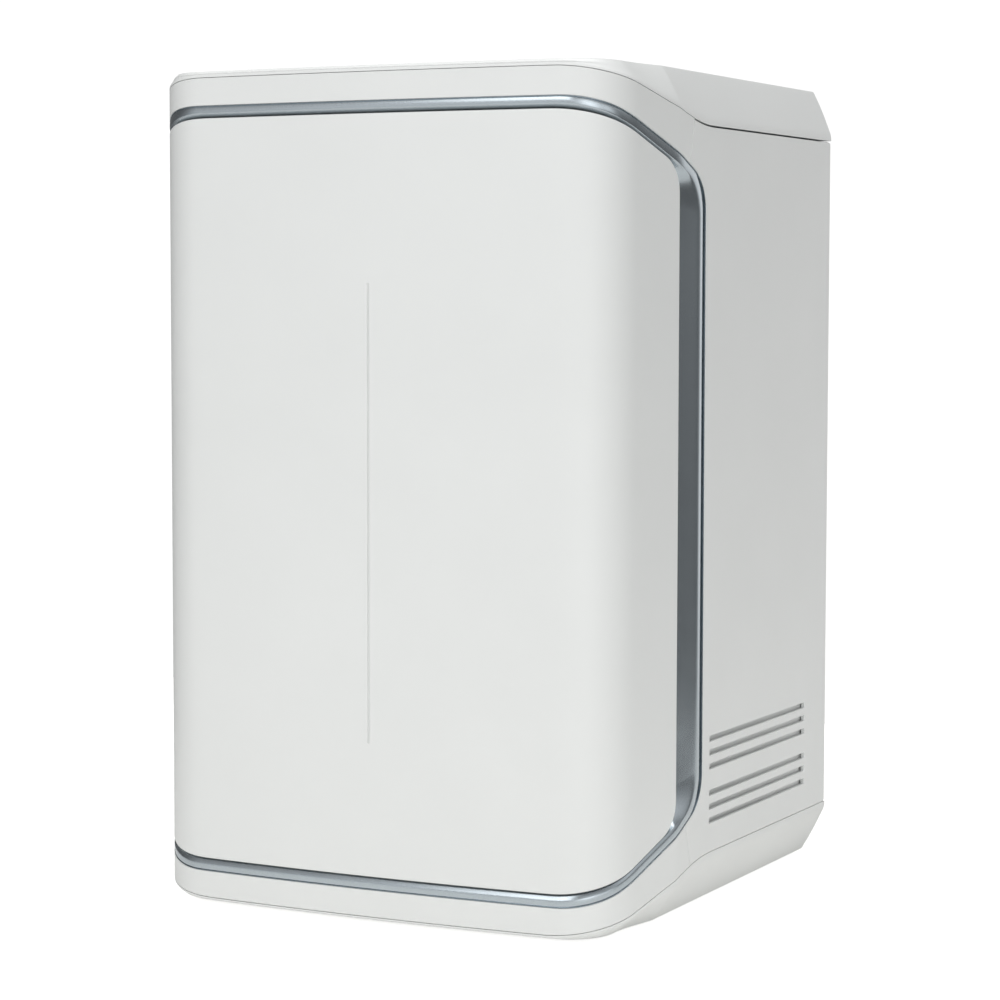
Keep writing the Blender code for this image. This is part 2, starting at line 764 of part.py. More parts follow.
def turned(profile, axis="Z", centre=(0, 0, 0), steps=ROUND_STEPS):
    """A turned solid: (radius, height) points from its top to its bottom, spun about an axis."""
    bm = bmesh.new()
    points = [bm.verts.new((radius, 0, height)) for radius, height in profile]
    for start, end in zip(points, points[1:]):
        bm.edges.new((start, end))
    mesh = bpy.data.meshes.new("profile")
    bm.to_mesh(mesh)
    bm.free()
    spun = bpy.data.objects.new("profile", mesh)
    bpy.context.scene.collection.objects.link(spun)
    screw = spun.modifiers.new("Screw", "SCREW")
    screw.steps = steps
    screw.render_steps = steps
    screw.use_merge_vertices = True
    screw.merge_threshold = MERGE
    graph = bpy.context.evaluated_depsgraph_get()
    result = bpy.data.meshes.new_from_object(spun.evaluated_get(graph))
    bpy.data.objects.remove(spun)
    bpy.data.meshes.remove(mesh)
    rotations = {
        "Z": Matrix.Identity(4),
        "Y": Matrix.Rotation(-math.pi / 2, 4, "X"),
        "X": Matrix.Rotation(math.pi / 2, 4, "Y"),
    }
    bm = bmesh.new()
    bm.from_mesh(result)
    bmesh.ops.remove_doubles(bm, verts=bm.verts, dist=MERGE)
    bmesh.ops.transform(bm, matrix=Matrix.Translation(centre) @ rotations[axis], verts=bm.verts)
    result = mesh_of(bm)
    result.shade_smooth()
    result.set_sharp_from_angle(angle=ROUND_ANGLE)
    return result


def cylinder(radius, start, end, axis="Z", centre=(0, 0, 0), steps=ROUND_STEPS):
    """A plain round bar between two places on its axis."""
    return turned([(0, end), (radius, end), (radius, start), (0, start)], axis, centre, steps)


def circle(centre, radius, steps):
    """Points of a circle in plan."""
    turns = [2 * math.pi * step / steps for step in range(steps)]
    return [(centre[0] + radius * math.cos(turn), centre[1] + radius * math.sin(turn)) for turn in turns]


def tube_between(start, start_way, end, end_way, pull):
    """The mesh of a bent tube that leaves one port straight and enters another straight."""
    start, end, start_way, end_way = Vector(start), Vector(end), Vector(start_way), Vector(end_way)
    first, last = start + start_way * TUBE_LEAD, end + end_way * TUBE_LEAD
    near, far = first + start_way * pull, last + end_way * pull
    route = [start]
    for step in range(TUBE_STEPS + 1):
        share = step / TUBE_STEPS
        bent = first.lerp(near, share).lerp(near.lerp(far, share), share)
        route.append(bent.lerp(near.lerp(far, share).lerp(far.lerp(last, share), share), share))
    route.append(end)
    curve = bpy.data.curves.new("tube", "CURVE")
    curve.dimensions = "3D"
    curve.bevel_depth = TUBE_RADIUS
    curve.bevel_resolution = 2
    curve.use_fill_caps = True
    spline = curve.splines.new("POLY")
    spline.points.add(len(route) - 1)
    for point, place in zip(spline.points, route):
        point.co = (*place, 1)
    return mesh_of(curve_bmesh(curve))


def curve_bmesh(curve):
    """The welded surface of a curve, which is then deleted."""
    drawn = bpy.data.objects.new("curve", curve)
    bpy.context.scene.collection.objects.link(drawn)
    graph = bpy.context.evaluated_depsgraph_get()
    mesh = bpy.data.meshes.new_from_object(drawn.evaluated_get(graph))
    bpy.data.objects.remove(drawn)
    bpy.data.curves.remove(curve)
    bm = bmesh.new()
    bm.from_mesh(mesh)
    bpy.data.meshes.remove(mesh)
    bmesh.ops.remove_doubles(bm, verts=bm.verts, dist=MERGE)
    return bm


def cover_row(top, lift, share):
    """One closed row of a cover: on its joint line or above its lip, and a share of the way up."""
    side = 1 if top else -1
    face = HEIGHT if top else 0.0
    places = sorted(set(BENDS) | set(ramp_places(RAMP_START, RAMP_END)))
    row = []
    for along in [-place for place in reversed(places)] + places[1:]:
        ramp = eased(abs(along), RAMP_START, RAMP_END)
        edge = eased(abs(along), EDGE_START, EDGE_END)
        lip = LIP_FRONT + (LIP_SIDE - LIP_FRONT) * ramp
        start = cover_line(along, top) + side * lift * lip
        inset = EDGE_FRONT_INSET + (EDGE_SIDE_INSET - EDGE_FRONT_INSET) * edge
        bulge = EDGE_BULGE * 4 * share * (1 - share)
        row.append(on_case(along, inset * share - bulge, start + (face - start) * share))
    return row


def add_covers(shop):
    """Top and bottom covers: chamfered caps that close the case."""
    for name, top in (("top_cover", True), ("bottom_cover", False)):
        rows = [cover_row(top, 0, 0)] + [cover_row(top, 1, share) for share in SLANT_SHARES]
        mesh = loft(rows, (0, 0, 1 if top else -1), cap=True)
        thicken(shop.add(name, mesh, shop.white), WALL)


def fascia_outline(top):
    """Right half of a front fascia: the trim's outer edge, the slanted seam and the cover's line."""
    ring = half_ring(grown(TRIM_RING, SEAM))
    near, far = along_at(SEAM_DEPTH_AT_TRIM), along_at(SEAM_DEPTH_AT_COVER)
    half = len(ring) // 2
    edge = cut_at(list(reversed(ring[half:])) if top else ring[:half], near, False)
    line = [
        Vector((along, cover_line(along, top) + (-SEAM if top else SEAM)))
        for along in ramp_places(0.0, far)
    ]
    return edge + list(reversed(line))


def side_outline():
    """Right side panel on the unrolled case: behind the seams and the trim, between the covers."""
    ring = cut_at(half_ring(grown(TRIM_RING, SEAM)), along_at(SEAM_DEPTH_AT_TRIM) + SEAM, True)
    start = along_at(SEAM_DEPTH_AT_COVER) + SEAM
    places = ramp_places(start, HALF_GIRTH)
    upper = [Vector((along, cover_line(along, True) - SHADOW_GAP)) for along in places]
    lower = [Vector((along, cover_line(along, False) + SEAM)) for along in places]
    return ring + upper + list(reversed(lower))


def slot_outlines():
    """Vent slots of the right side panel on the unrolled case."""
    start, end = along_at(SLOT_FRONT), along_at(SLOT_BACK)
    outlines = []
    for group in range(SLOT_GROUPS):
        for slot in range(SLOTS_IN_GROUP):
            low = SLOT_LOWEST + group * SLOT_GROUP_PITCH + slot * SLOT_PITCH
            high = low + SLOT_HEIGHT
            outlines.append([(start, low), (end, low), (end, high), (start, high)])
    return outlines


def add_panels(shop):
    """Front fascias, side panels and rear panel."""
    for name, top in (("upper_fascia", True), ("lower_fascia", False)):
        shop.add(name, wrapped([mirrored(fascia_outline(top))], 0.0, WALL), shop.white)
    right = [side_outline()] + slot_outlines()
    left = [[(-along, up) for along, up in outline] for outline in right]
    shop.add("right_side_panel", wrapped(right, 0.0, WALL), shop.white)
    shop.add("left_side_panel", wrapped(left, 0.0, WALL), shop.white)
    add_rear_panel(shop)


def rear_holes():
    """Openings of the rear panel, as outlines of (x, z) points."""
    half_width, half_height = ENTRY_WIDTH / 2 + GAP, ENTRY_HEIGHT / 2 + GAP
    entry = rectangle((ENTRY_SIDE, ENTRY_LEVEL), half_width, half_height)
    data_half = DATA_SOCKETS * DATA_PITCH / 2 + GAP
    data = rectangle((DATA_SIDE, DATA_LEVEL), data_half, DATA_OPENING_HEIGHT / 2 + DATA_WALL + GAP)
    radius = FITTING_STEM_RADIUS + GAP
    fittings = [circle((side, FITTING_LEVEL), radius, ROUND_STEPS) for side in fitting_sides()]
    return [entry, data] + fittings


def rectangle(centre, half_width, half_height):
    """Corners of a rectangle about a centre."""
    x, y = centre
    return [
        (x - half_width, y - half_height), (x + half_width, y - half_height),
        (x + half_width, y + half_height), (x - half_width, y + half_height),
    ]


def upright_plate(outlines, front, thickness):
    """A plate cut to outlines of (x, z) points, standing with its front at a depth."""
    bm = flat_plate(outlines, thickness)
    upright = Matrix.Translation((0, front + thickness / 2, 0)) @ Matrix.Rotation(math.pi / 2, 4, "X")
    bmesh.ops.transform(bm, matrix=upright, verts=bm.verts)
    return mesh_of(bm)


def add_rear_panel(shop):
    """Rear panel between the side panels, with its openings."""
    half = WIDTH / 2 - WALL - GAP
    low = BASE_FRONT_RISE + BASE_SIDE_RISE + SEAM
    high = HEIGHT - COVER_FRONT_DROP - COVER_SIDE_DROP - SEAM
    outline = [(-half, low), (half, low), (half, high), (-half, high)]
    mesh = upright_plate([outline] + rear_holes(), DEPTH - WALL, WALL)
    shop.add("rear_panel", mesh, shop.white)


def add_trim(shop):
    """Trim ring: an outer flange, a flush band, a slanted recess to grip the door, an inner return."""
    outer = mirrored(half_ring(TRIM_RING))
    crease = mirrored(half_ring(CREASE_RING))
    inner = mirrored(half_ring(DOOR_RING))
    rows = [
        [on_case(along, TRIM_FLANGE, up) for along, up in outer],
        [on_case(along, 0.0, up) for along, up in outer],
        [on_case(along, 0.0, up) for along, up in crease],
        [on_case(along, TRIM_RECESS, up) for along, up in inner],
        [on_case(along, TRIM_RECESS + TRIM_RETURN, up) for along, up in inner],
    ]
    trim = shop.add("trim_ring", loft(rows, (0, 0, 1)), shop.silver)
    thicken(trim, TRIM_WALL)
    for level in (HINGE_LOW, HINGE_HIGH):
        top = level + 2 * HINGE_LUG_THICKNESS + GAP + HINGE_HEAD_THICKNESS
        side = -WIDTH / 2 + TRIM_RECESS + TRIM_RETURN
        window = box(
            (-WIDTH / 2 - OVERRUN, HINGE_WINDOW_FRONT, level - HINGE_WINDOW_MARGIN),
            (side + OVERRUN, HINGE_WINDOW_BACK, top + HINGE_WINDOW_MARGIN),
        )
        shop.cut(trim, window)


def chassis_half():
    """Half the chassis's width, which ends just inside the trim's return."""
    return WIDTH / 2 - TRIM_RECESS - TRIM_RETURN - GAP


def add_chassis(shop):
    """Sheet-steel chassis: open at the front and the back, with a bulkhead between its two bays."""
    half, back = chassis_half(), DEPTH - WALL - GAP
    chassis = shop.add(
        "chassis", box((-half, CHASSIS_FRONT, CHASSIS_LOW), (half, back, chassis_high())), shop.steel
    )
    inner, low, high = half - SHEET, CHASSIS_LOW + SHEET, chassis_high() - SHEET
    front_bay = box((-inner, CHASSIS_FRONT - OVERRUN, low), (inner, BULKHEAD_DEPTH, high))
    rear_bay = box((-inner, BULKHEAD_DEPTH + SHEET, low), (inner, back + OVERRUN, high))
    windows = box(
        (-half - OVERRUN, WINDOW_FRONT, WINDOW_LOW), (half + OVERRUN, WINDOW_BACK, WINDOW_HIGH)
    )
    for cutter in (front_bay, rear_bay, windows):
        shop.cut(chassis, cutter)
    for side in stub_sides():
        place = (side, BULKHEAD_DEPTH, stub_level())
        shop.cut(chassis, cylinder(STUB_RADIUS + GAP, -OVERRUN, SHEET + OVERRUN, "Y", place))
    add_base_frame(shop)


def add_base_frame(shop):
    """Open steel frame between the bottom cover and the chassis."""
    low = WALL + GAP
    body = box((-BASE_HALF, BASE_FRONT, low), (BASE_HALF, BASE_BACK, CHASSIS_LOW - GAP))
    hollow = box(
        (-BASE_HALF + SHEET, BASE_FRONT + SHEET, low + SHEET),
        (BASE_HALF - SHEET, BASE_BACK - SHEET, CHASSIS_LOW + OVERRUN),
    )
    shop.cut(shop.add("base_frame", body, shop.steel), hollow)


def add_soffit_and_sill(shop):
    """Level plates above and below the door opening, seated on the trim's returns."""
    inset = TRIM_RECESS + GAP
    reach = DOOR_RING.half - DOOR_RUN_HIGH
    places = [place for place in BENDS if place < reach] + [reach]
    front = [on_case(place, inset, 0).xy for place in places]
    side = front[-1].x
    upper = DOOR_HIGH + TRIM_WALL + GAP
    lower = DOOR_LOW - TRIM_WALL - GAP - SHEET
    ledge = CHASSIS_FRONT + SOFFIT_LEDGE
    for name, low, back in (("upper_soffit", upper, ledge), ("lower_sill", lower, BASE_FRONT - GAP)):
        outline = mirrored(front + [Vector((side, back)), Vector((0, back))])
        shop.add(name, standing_plate([outline], low, SHEET), shop.grey)


def add_feet(shop):
    """Four rubber feet under the bottom cover."""
    profile = [
        (0, -GAP), (FOOT_RADIUS, -GAP), (FOOT_RADIUS * FOOT_TAPER_SHARE, -FOOT_HEIGHT), (0, -FOOT_HEIGHT)
    ]
    for row, depth in (("front", FOOT_FRONT), ("rear", FOOT_BACK)):
        for hand, side in (("left", -FOOT_SIDE), ("right", FOOT_SIDE)):
            shop.add(f"{row}_{hand}_foot", turned(profile, "Z", (side, depth, 0)), shop.rubber)


def hinge_place():
    """The door's vertical axis in plan, in the trim's recess on the left."""
    return Vector((-WIDTH / 2 + HINGE_INSET, DOOR_EDGE_DEPTH + HINGE_BEHIND))


def arc(centre, radius, start, end, steps):
    """Points of an arc in plan, between two angles in degrees."""
    turns = [math.radians(start + (end - start) * step / steps) for step in range(steps + 1)]
    return [centre + radius * Vector((math.cos(turn), math.sin(turn))) for turn in turns]


def add_door(shop):
    """Front door: a skin with a rim, a liner inside it, and the light guide with its board."""
    axis = hinge_place()
    hinge = shop.joint("door_axis", (*axis, 0))
    skin = shop.add("door_skin", wrapped([mirrored(half_ring(DOOR_RING))], 0.0, RIM_DEPTH), shop.white, hinge)
    inside = mirrored(half_ring(grown(DOOR_RING, -WALL)))
    shop.cut(skin, wrapped([inside], WALL, RIM_DEPTH))
    half_slot = GUIDE_WIDTH / 2 + GAP
    slot = box((-half_slot, -OVERRUN, GUIDE_LOW - GAP), (half_slot, WALL + OVERRUN, GUIDE_HIGH + GAP))
    shop.cut(skin, slot)
    liner = mirrored(half_ring(grown(DOOR_RING, -WALL - DOOR_CLEARANCE)))
    shop.add("door_liner", wrapped([liner], LINER_DEPTH, WALL), shop.grey, hinge)
    guide = box((-GUIDE_WIDTH / 2, 0, GUIDE_LOW), (GUIDE_WIDTH / 2, GUIDE_THICKNESS, GUIDE_HIGH))
    shop.add("light_guide", guide, shop.clear, hinge)
    front = GUIDE_THICKNESS + GAP
    board = box(
        (-BOARD_WIDTH / 2, front, GUIDE_LOW), (BOARD_WIDTH / 2, front + BOARD_THICKNESS, GUIDE_HIGH)
    )
    shop.add("light_board", board, shop.green, hinge)
    add_hinge_plate(shop, hinge)
    add_magnet(shop, hinge)


def add_hinge_plate(shop, hinge):
    """Plate behind the door's left flank, with two lugs that hang the door on its pins."""
    axis = hinge_place()
    start, end = -DOOR_RING.half + LUG_REACH, -DOOR_RING.half
    near = RIM_DEPTH + GAP
    outer, inner = [
        [on_case(place, inset, 0).xy for place in (start, end)] for inset in (near, near + SHEET)
    ]
    height = HINGE_HIGH - HINGE_LOW + HINGE_LUG_THICKNESS * 2
    plate = shop.add("door_hinge_plate", standing_plate([outer + inner[::-1]], HINGE_LOW, height),
                     shop.steel, hinge)
    places = (start - OVERRUN, end + OVERRUN)
    root, far = [
        [on_case(place, inset, 0).xy for place in places] for inset in (near + SHEET / 2, near + LUG_WIDTH)
    ]
    outline = [*root, *arc(axis, HINGE_LUG_RADIUS, -90, -360, HOLE_STEPS), *far[::-1]]
    hole = circle(axis, HINGE_HOLE_RADIUS, HOLE_STEPS)
    for level in (HINGE_LOW, HINGE_HIGH):
        low = level + HINGE_LUG_THICKNESS + GAP
        shop.combine(plate, standing_plate([outline, hole], low, HINGE_LUG_THICKNESS), "UNION")


def add_hinges(shop):
    """Hinge rail on the chassis's left wall, and the two pins that stand in its lugs."""
    axis = hinge_place()
    wall = -chassis_half() - GAP
    middle = (HINGE_LEAF_FRONT + HINGE_LEAF_BACK) / 2
    rail = shop.add("hinge_rail", box(
        (wall - SHEET, HINGE_LEAF_FRONT, HINGE_LOW - HINGE_LEAF_MARGIN),
        (wall, HINGE_LEAF_BACK, HINGE_HIGH + HINGE_LEAF_MARGIN),
    ), shop.steel)
    outline = arc(axis, HINGE_LUG_RADIUS, 90, 270, HOLE_STEPS) + [
        Vector((wall - SHEET / 2, axis.y - HINGE_LUG_RADIUS)),
        Vector((wall - SHEET / 2, middle)),
        Vector((wall - SHEET, middle)),
    ]
    hole = circle(axis, HINGE_HOLE_RADIUS, HOLE_STEPS)
    for name, level in (("lower", HINGE_LOW), ("upper", HINGE_HIGH)):
        shop.combine(rail, standing_plate([outline, hole], level, HINGE_LUG_THICKNESS), "UNION")
        top = level + 2 * HINGE_LUG_THICKNESS + 2 * GAP
        profile = [
            (0, top + HINGE_HEAD_THICKNESS), (HINGE_HEAD_RADIUS, top + HINGE_HEAD_THICKNESS),
            (HINGE_HEAD_RADIUS, top), (HINGE_PIN_RADIUS, top), (HINGE_PIN_RADIUS, level), (0, level),
        ]
        shop.add(f"{name}_hinge_pin", turned(profile, "Z", (*axis, 0), HOLE_STEPS), shop.stainless)


def add_magnet(shop, hinge):
    """Magnet holder on the door's free side, and the strike plate that it closes on."""
    wall = chassis_half() - SHEET - GAP
    face = CHASSIS_FRONT - DOOR_CLEARANCE
    depth = RIM_DEPTH + GAP
    foot = DOOR_RING.half - MAGNET_STEP * 2
    outline = [
        Vector((wall - MAGNET_WIDTH, face)), Vector((wall, face)), Vector((wall, face - MAGNET_STEP)),
        on_case(foot, depth, 0).xy, on_case(foot - MAGNET_REACH, depth, 0).xy,
        Vector((wall - MAGNET_WIDTH, face - MAGNET_STEP * 2)),
    ]
    shop.add("door_magnet", standing_plate([outline], MAGNET_LOW, MAGNET_HEIGHT), shop.black, hinge)
    strike = box(
        (wall - MAGNET_WIDTH, CHASSIS_FRONT, MAGNET_LOW),
        (wall, CHASSIS_FRONT + STRIKE_THICKNESS, MAGNET_LOW + MAGNET_HEIGHT),
    )
    shop.add("strike_plate", strike, shop.stainless)


def add_manifold(shop):
    """Manifold block that the cartridges plug into, with tube stubs behind and the port in front."""
    back = BULKHEAD_DEPTH - GAP
    low, high = (-MANIFOLD_HALF, MANIFOLD_FRONT, MANIFOLD_LOW), (MANIFOLD_HALF, back, MANIFOLD_HIGH)
    manifold = shop.add("manifold_block", box(low, high, MANIFOLD_EDGE), shop.grey)
    for side in cartridge_sides():
        socket = cylinder(
            NECK_RADIUS + NECK_CLEARANCE, MANIFOLD_LOW - OVERRUN, MANIFOLD_LOW + NECK_REACH + NECK_GAP,
            "Z", (side, CARTRIDGE_DEPTH, 0),
        )
        shop.cut(manifold, socket)
    for side in stub_sides():
        place = (side, BULKHEAD_DEPTH, stub_level())
        stub = cylinder(STUB_RADIUS, -OVERRUN, SHEET + STUB_LENGTH, "Y", place, HOLE_STEPS)
        shop.combine(manifold, stub, "UNION")
    add_sanitisation_port(shop, manifold)


def stub_level():
    """Height of the ports behind the manifold."""
    return (MANIFOLD_LOW + MANIFOLD_HIGH) / 2


def stub_sides():
    """Places of the ports behind the manifold, the last one clear of the lamp."""
    first = cartridge_sides()[0]
    return (first - STUB_SPREAD, first + STUB_SPREAD, LAMP_SIDE + LAMP_CAP_RADIUS + STUB_BESIDE_LAMP)


def add_sanitisation_port(shop, manifold):
    """Round port on the manifold's face under a cap that turns by its wings."""
    place = (PORT_SIDE, MANIFOLD_FRONT, stub_level())
    profile = [
        (0, OVERRUN), (PORT_RADIUS, OVERRUN), (PORT_RADIUS, -PORT_LENGTH), (PORT_BORE_RADIUS, -PORT_LENGTH),
        (PORT_BORE_RADIUS, -PORT_BORE_FLOOR), (0, -PORT_BORE_FLOOR),
    ]
    shop.combine(manifold, turned(profile, "Y", place), "UNION")
    axis = shop.joint("cap_axis", place)
    inner = PORT_RADIUS + CAP_PLAY
    floor = -PORT_LENGTH - CAP_PLAY
    profile = [
        (inner, floor), (inner, -GAP - CAP_PLAY), (CAP_RADIUS, -GAP - CAP_PLAY), (CAP_RADIUS, -CAP_LENGTH),
        (0, -CAP_LENGTH),
    ]
    cap = shop.add("sanitisation_cap", turned([(0, floor)] + profile, "Y", place), shop.blue, axis)
    front = place[1] - CAP_LENGTH
    wing = box(
        (place[0] - WING_LENGTH / 2, front - WING_HEIGHT, place[2] - WING_WIDTH / 2),
        (place[0] + WING_LENGTH / 2, front + CAP_WALL / 2, place[2] + WING_WIDTH / 2),
    )
    shop.combine(cap, wing, "UNION")


def cartridge_sides():
    """Places of the cartridges across the bay."""
    return (-CARTRIDGE_PITCH, 0.0, CARTRIDGE_PITCH)


def add_cartridges(shop):
    """Three cartridges that hang in the manifold by their necks, each with a paddle below to turn it."""
    shoulder = MANIFOLD_LOW - NECK_GAP
    top = MANIFOLD_LOW + NECK_REACH
    profile = [
        (0, top), (NECK_RADIUS, top), (NECK_RADIUS, shoulder), (SHOULDER_RADIUS, shoulder),
        (CARTRIDGE_RADIUS, shoulder - SHOULDER_HEIGHT), (CARTRIDGE_RADIUS, CARTRIDGE_LOW + FLOOR_ROUND),
        (CARTRIDGE_RADIUS - FLOOR_ROUND, CARTRIDGE_LOW), (0, CARTRIDGE_LOW),
    ]
    names = ("pretreatment", "osmosis", "polishing")
    for name, side in zip(names, cartridge_sides()):
        axis = shop.joint(f"{name}_axis", (side, CARTRIDGE_DEPTH, 0))
        body = shop.add(
            f"{name}_cartridge", turned(profile, "Z", (side, CARTRIDGE_DEPTH, 0)), shop.white, axis
        )
        paddle = box(
            (side - PADDLE_LENGTH / 2, CARTRIDGE_DEPTH - PADDLE_WIDTH / 2, CARTRIDGE_LOW - PADDLE_HEIGHT),
            (side + PADDLE_LENGTH / 2, CARTRIDGE_DEPTH + PADDLE_WIDTH / 2, CARTRIDGE_LOW + OVERRUN),
        )
        shop.combine(body, paddle, "UNION")


def add_tray(shop):
    """Drip tray on the floor of the front bay."""
    low = CHASSIS_LOW + SHEET + GAP
    back = BULKHEAD_DEPTH - GAP
    tray = shop.add(
        "drip_tray", box((-TRAY_HALF, TRAY_FRONT, low), (TRAY_HALF, back, low + TRAY_HEIGHT)), shop.grey
    )
    hollow = box(
        (-TRAY_HALF + SHEET, TRAY_FRONT + SHEET, low + SHEET),
        (TRAY_HALF - SHEET, back - SHEET, low + TRAY_HEIGHT + OVERRUN),
    )
    shop.cut(tray, hollow)


def add_pump(shop):
    """Feed pump: a motor and a head in line, on a rail with two saddles."""
    centre = (0, PUMP_DEPTH, PUMP_HEIGHT)
    start, end = MOTOR_LEFT, MOTOR_LEFT + MOTOR_LENGTH
    profile = [
        (0, end), (MOTOR_RADIUS, end), (MOTOR_RADIUS, start + MOTOR_END_ROUND),
        (MOTOR_RADIUS - MOTOR_END_ROUND, start), (0, start),
    ]
    shop.add("pump_motor", turned(profile, "X", centre), shop.steel)
    start = end + GAP
    end = start + PUMP_HEAD_LENGTH
    waist = start + PUMP_HEAD_LENGTH * PUMP_WAIST_SHARE
    profile = [
        (0, end), (PUMP_HEAD_RADIUS, end), (PUMP_HEAD_RADIUS, waist), (PUMP_WAIST_RADIUS, waist),
        (PUMP_WAIST_RADIUS, start), (0, start),
    ]
    shop.add("pump_head", turned(profile, "X", centre), shop.brass)
    floor = CHASSIS_LOW + SHEET + GAP
    rail = shop.add("pump_rail", box(
        (MOTOR_LEFT, PUMP_DEPTH - RAIL_WIDTH / 2, floor),
        (MOTOR_LEFT + MOTOR_LENGTH, PUMP_DEPTH + RAIL_WIDTH / 2, floor + RAIL_THICKNESS),
    ), shop.steel)
    right = MOTOR_LEFT + MOTOR_LENGTH - RAIL_THICKNESS
    for left in (MOTOR_LEFT + RAIL_THICKNESS, right - RAIL_SADDLE_LENGTH):
        saddle = box(
            (left, PUMP_DEPTH - RAIL_WIDTH / 4, floor + RAIL_THICKNESS / 2),
            (left + RAIL_SADDLE_LENGTH, PUMP_DEPTH + RAIL_WIDTH / 4, PUMP_HEIGHT - MOTOR_RADIUS - GAP),
        )
        shop.combine(rail, saddle, "UNION")


def stack_front():
    """Depth of the pieces that are fixed against the back of the bulkhead."""
    return BULKHEAD_DEPTH + SHEET + GAP


def add_stack(shop):
    """Deionisation stack: a pile of membrane cells held in a frame of end plates and rods."""
    front = stack_front()
    right, back = STACK_LEFT + STACK_WIDTH, front + STACK_DEPTH
    high = STACK_LOW + STACK_HEIGHT
    frame = shop.add("stack_frame", box((STACK_LEFT, front, STACK_LOW), (right, back, STACK_LOW + END_PLATE)),
                     shop.stainless)
    margin = END_PLATE_OVERHANG
    rod_low, rod_high = STACK_LOW + END_PLATE / 2, high - END_PLATE / 2
    for x in (STACK_LEFT + margin, right - margin):
        for y in (front + margin, back - margin):
            rod = cylinder(ROD_RADIUS, rod_low, rod_high, "Z", (x, y, 0), HOLE_STEPS)
            shop.combine(frame, rod, "UNION")
    shop.combine(frame, box((STACK_LEFT, front, high - END_PLATE), (right, back, high)), "UNION")
    cells = box(
        (STACK_LEFT + 2 * margin, front + 2 * margin, STACK_LOW + END_PLATE + GAP),
        (right - 2 * margin, back - 2 * margin, high - END_PLATE - GAP),
    )
    shop.add("stack_cells", cells, shop.blue)


def lamp_depth():
    """Depth of the ultraviolet lamp's axis."""
    return stack_front() + SADDLE_DEPTH + GAP + LAMP_RADIUS


def add_lamp(shop):
    """Ultraviolet lamp housing: a steel tube with end caps, held off the bulkhead by a bracket."""
    high = LAMP_LOW + LAMP_LENGTH
    profile = [
        (0, high), (LAMP_CAP_RADIUS, high), (LAMP_CAP_RADIUS, high - LAMP_CAP_HEIGHT),
        (LAMP_RADIUS, high - LAMP_CAP_HEIGHT), (LAMP_RADIUS, LAMP_LOW + LAMP_CAP_HEIGHT),
        (LAMP_CAP_RADIUS, LAMP_LOW + LAMP_CAP_HEIGHT), (LAMP_CAP_RADIUS, LAMP_LOW), (0, LAMP_LOW),
    ]
    shop.add("lamp_housing", turned(profile, "Z", (LAMP_SIDE, lamp_depth(), 0)), shop.stainless)
    front, half = stack_front(), SADDLE_WIDTH / 2
    start, end = LAMP_LOW + LAMP_CAP_HEIGHT * 2, high - LAMP_CAP_HEIGHT * 2
    bracket = shop.add("lamp_bracket", box(
        (LAMP_SIDE - half, front, start), (LAMP_SIDE + half, front + SHEET, end)
    ), shop.grey)
    for low in (start + SADDLE_HEIGHT / 2, end - SADDLE_HEIGHT * 1.5):
        shop.combine(bracket, box(
            (LAMP_SIDE - half / 2, front + SHEET / 2, low),
            (LAMP_SIDE + half / 2, front + SADDLE_DEPTH, low + SADDLE_HEIGHT),
        ), "UNION")


def add_electronics(shop):
    """Control board on its carrier, power supply and a block of solenoid valves."""
    front = stack_front()
    board_front = front + BOARD_STANDOFF + GAP
    board = box(
        (BOARD_LEFT, board_front, BOARD_LOW),
        (BOARD_LEFT + BOARD_SPAN, board_front + BOARD_SHEET, BOARD_LOW + BOARD_HEIGHT),
    )
    shop.add("control_board", board, shop.green)
    carrier = shop.add("board_carrier", box(
        (BOARD_LEFT, front, BOARD_LOW), (BOARD_LEFT + BOARD_SPAN, front + SHEET, BOARD_LOW + BOARD_HEIGHT)
    ), shop.steel)
    for x in (BOARD_LEFT + STANDOFF_INSET, BOARD_LEFT + BOARD_SPAN - STANDOFF_INSET):
        for z in (BOARD_LOW + STANDOFF_INSET, BOARD_LOW + BOARD_HEIGHT - STANDOFF_INSET):
            post = cylinder(STANDOFF_RADIUS, SHEET / 2, BOARD_STANDOFF, "Y", (x, front, z), STANDOFF_STEPS)
            shop.combine(carrier, post, "UNION")
    floor = CHASSIS_LOW + SHEET + GAP
    supply = box(
        (SUPPLY_LEFT, SUPPLY_FRONT, floor),
        (SUPPLY_LEFT + SUPPLY_WIDTH, SUPPLY_FRONT + SUPPLY_DEPTH, floor + SUPPLY_HEIGHT),
    )
    shop.add("power_supply", supply, shop.steel)
    span = VALVE_PITCH * (VALVES - 1) + VALVE_WIDTH
    block = shop.add("valve_block", box(
        (VALVE_LEFT, front, VALVE_LOW), (VALVE_LEFT + span, front + VALVE_DEPTH, VALVE_LOW + VALVE_HEIGHT)
    ), shop.brass)
    for index in range(VALVES):
        side = VALVE_LEFT + VALVE_WIDTH / 2 + index * VALVE_PITCH
        place = (side, front + VALVE_DEPTH / 2, VALVE_LOW + VALVE_HEIGHT)
        shop.combine(block, cylinder(COIL_RADIUS, -OVERRUN, COIL_HEIGHT, "Z", place), "UNION")


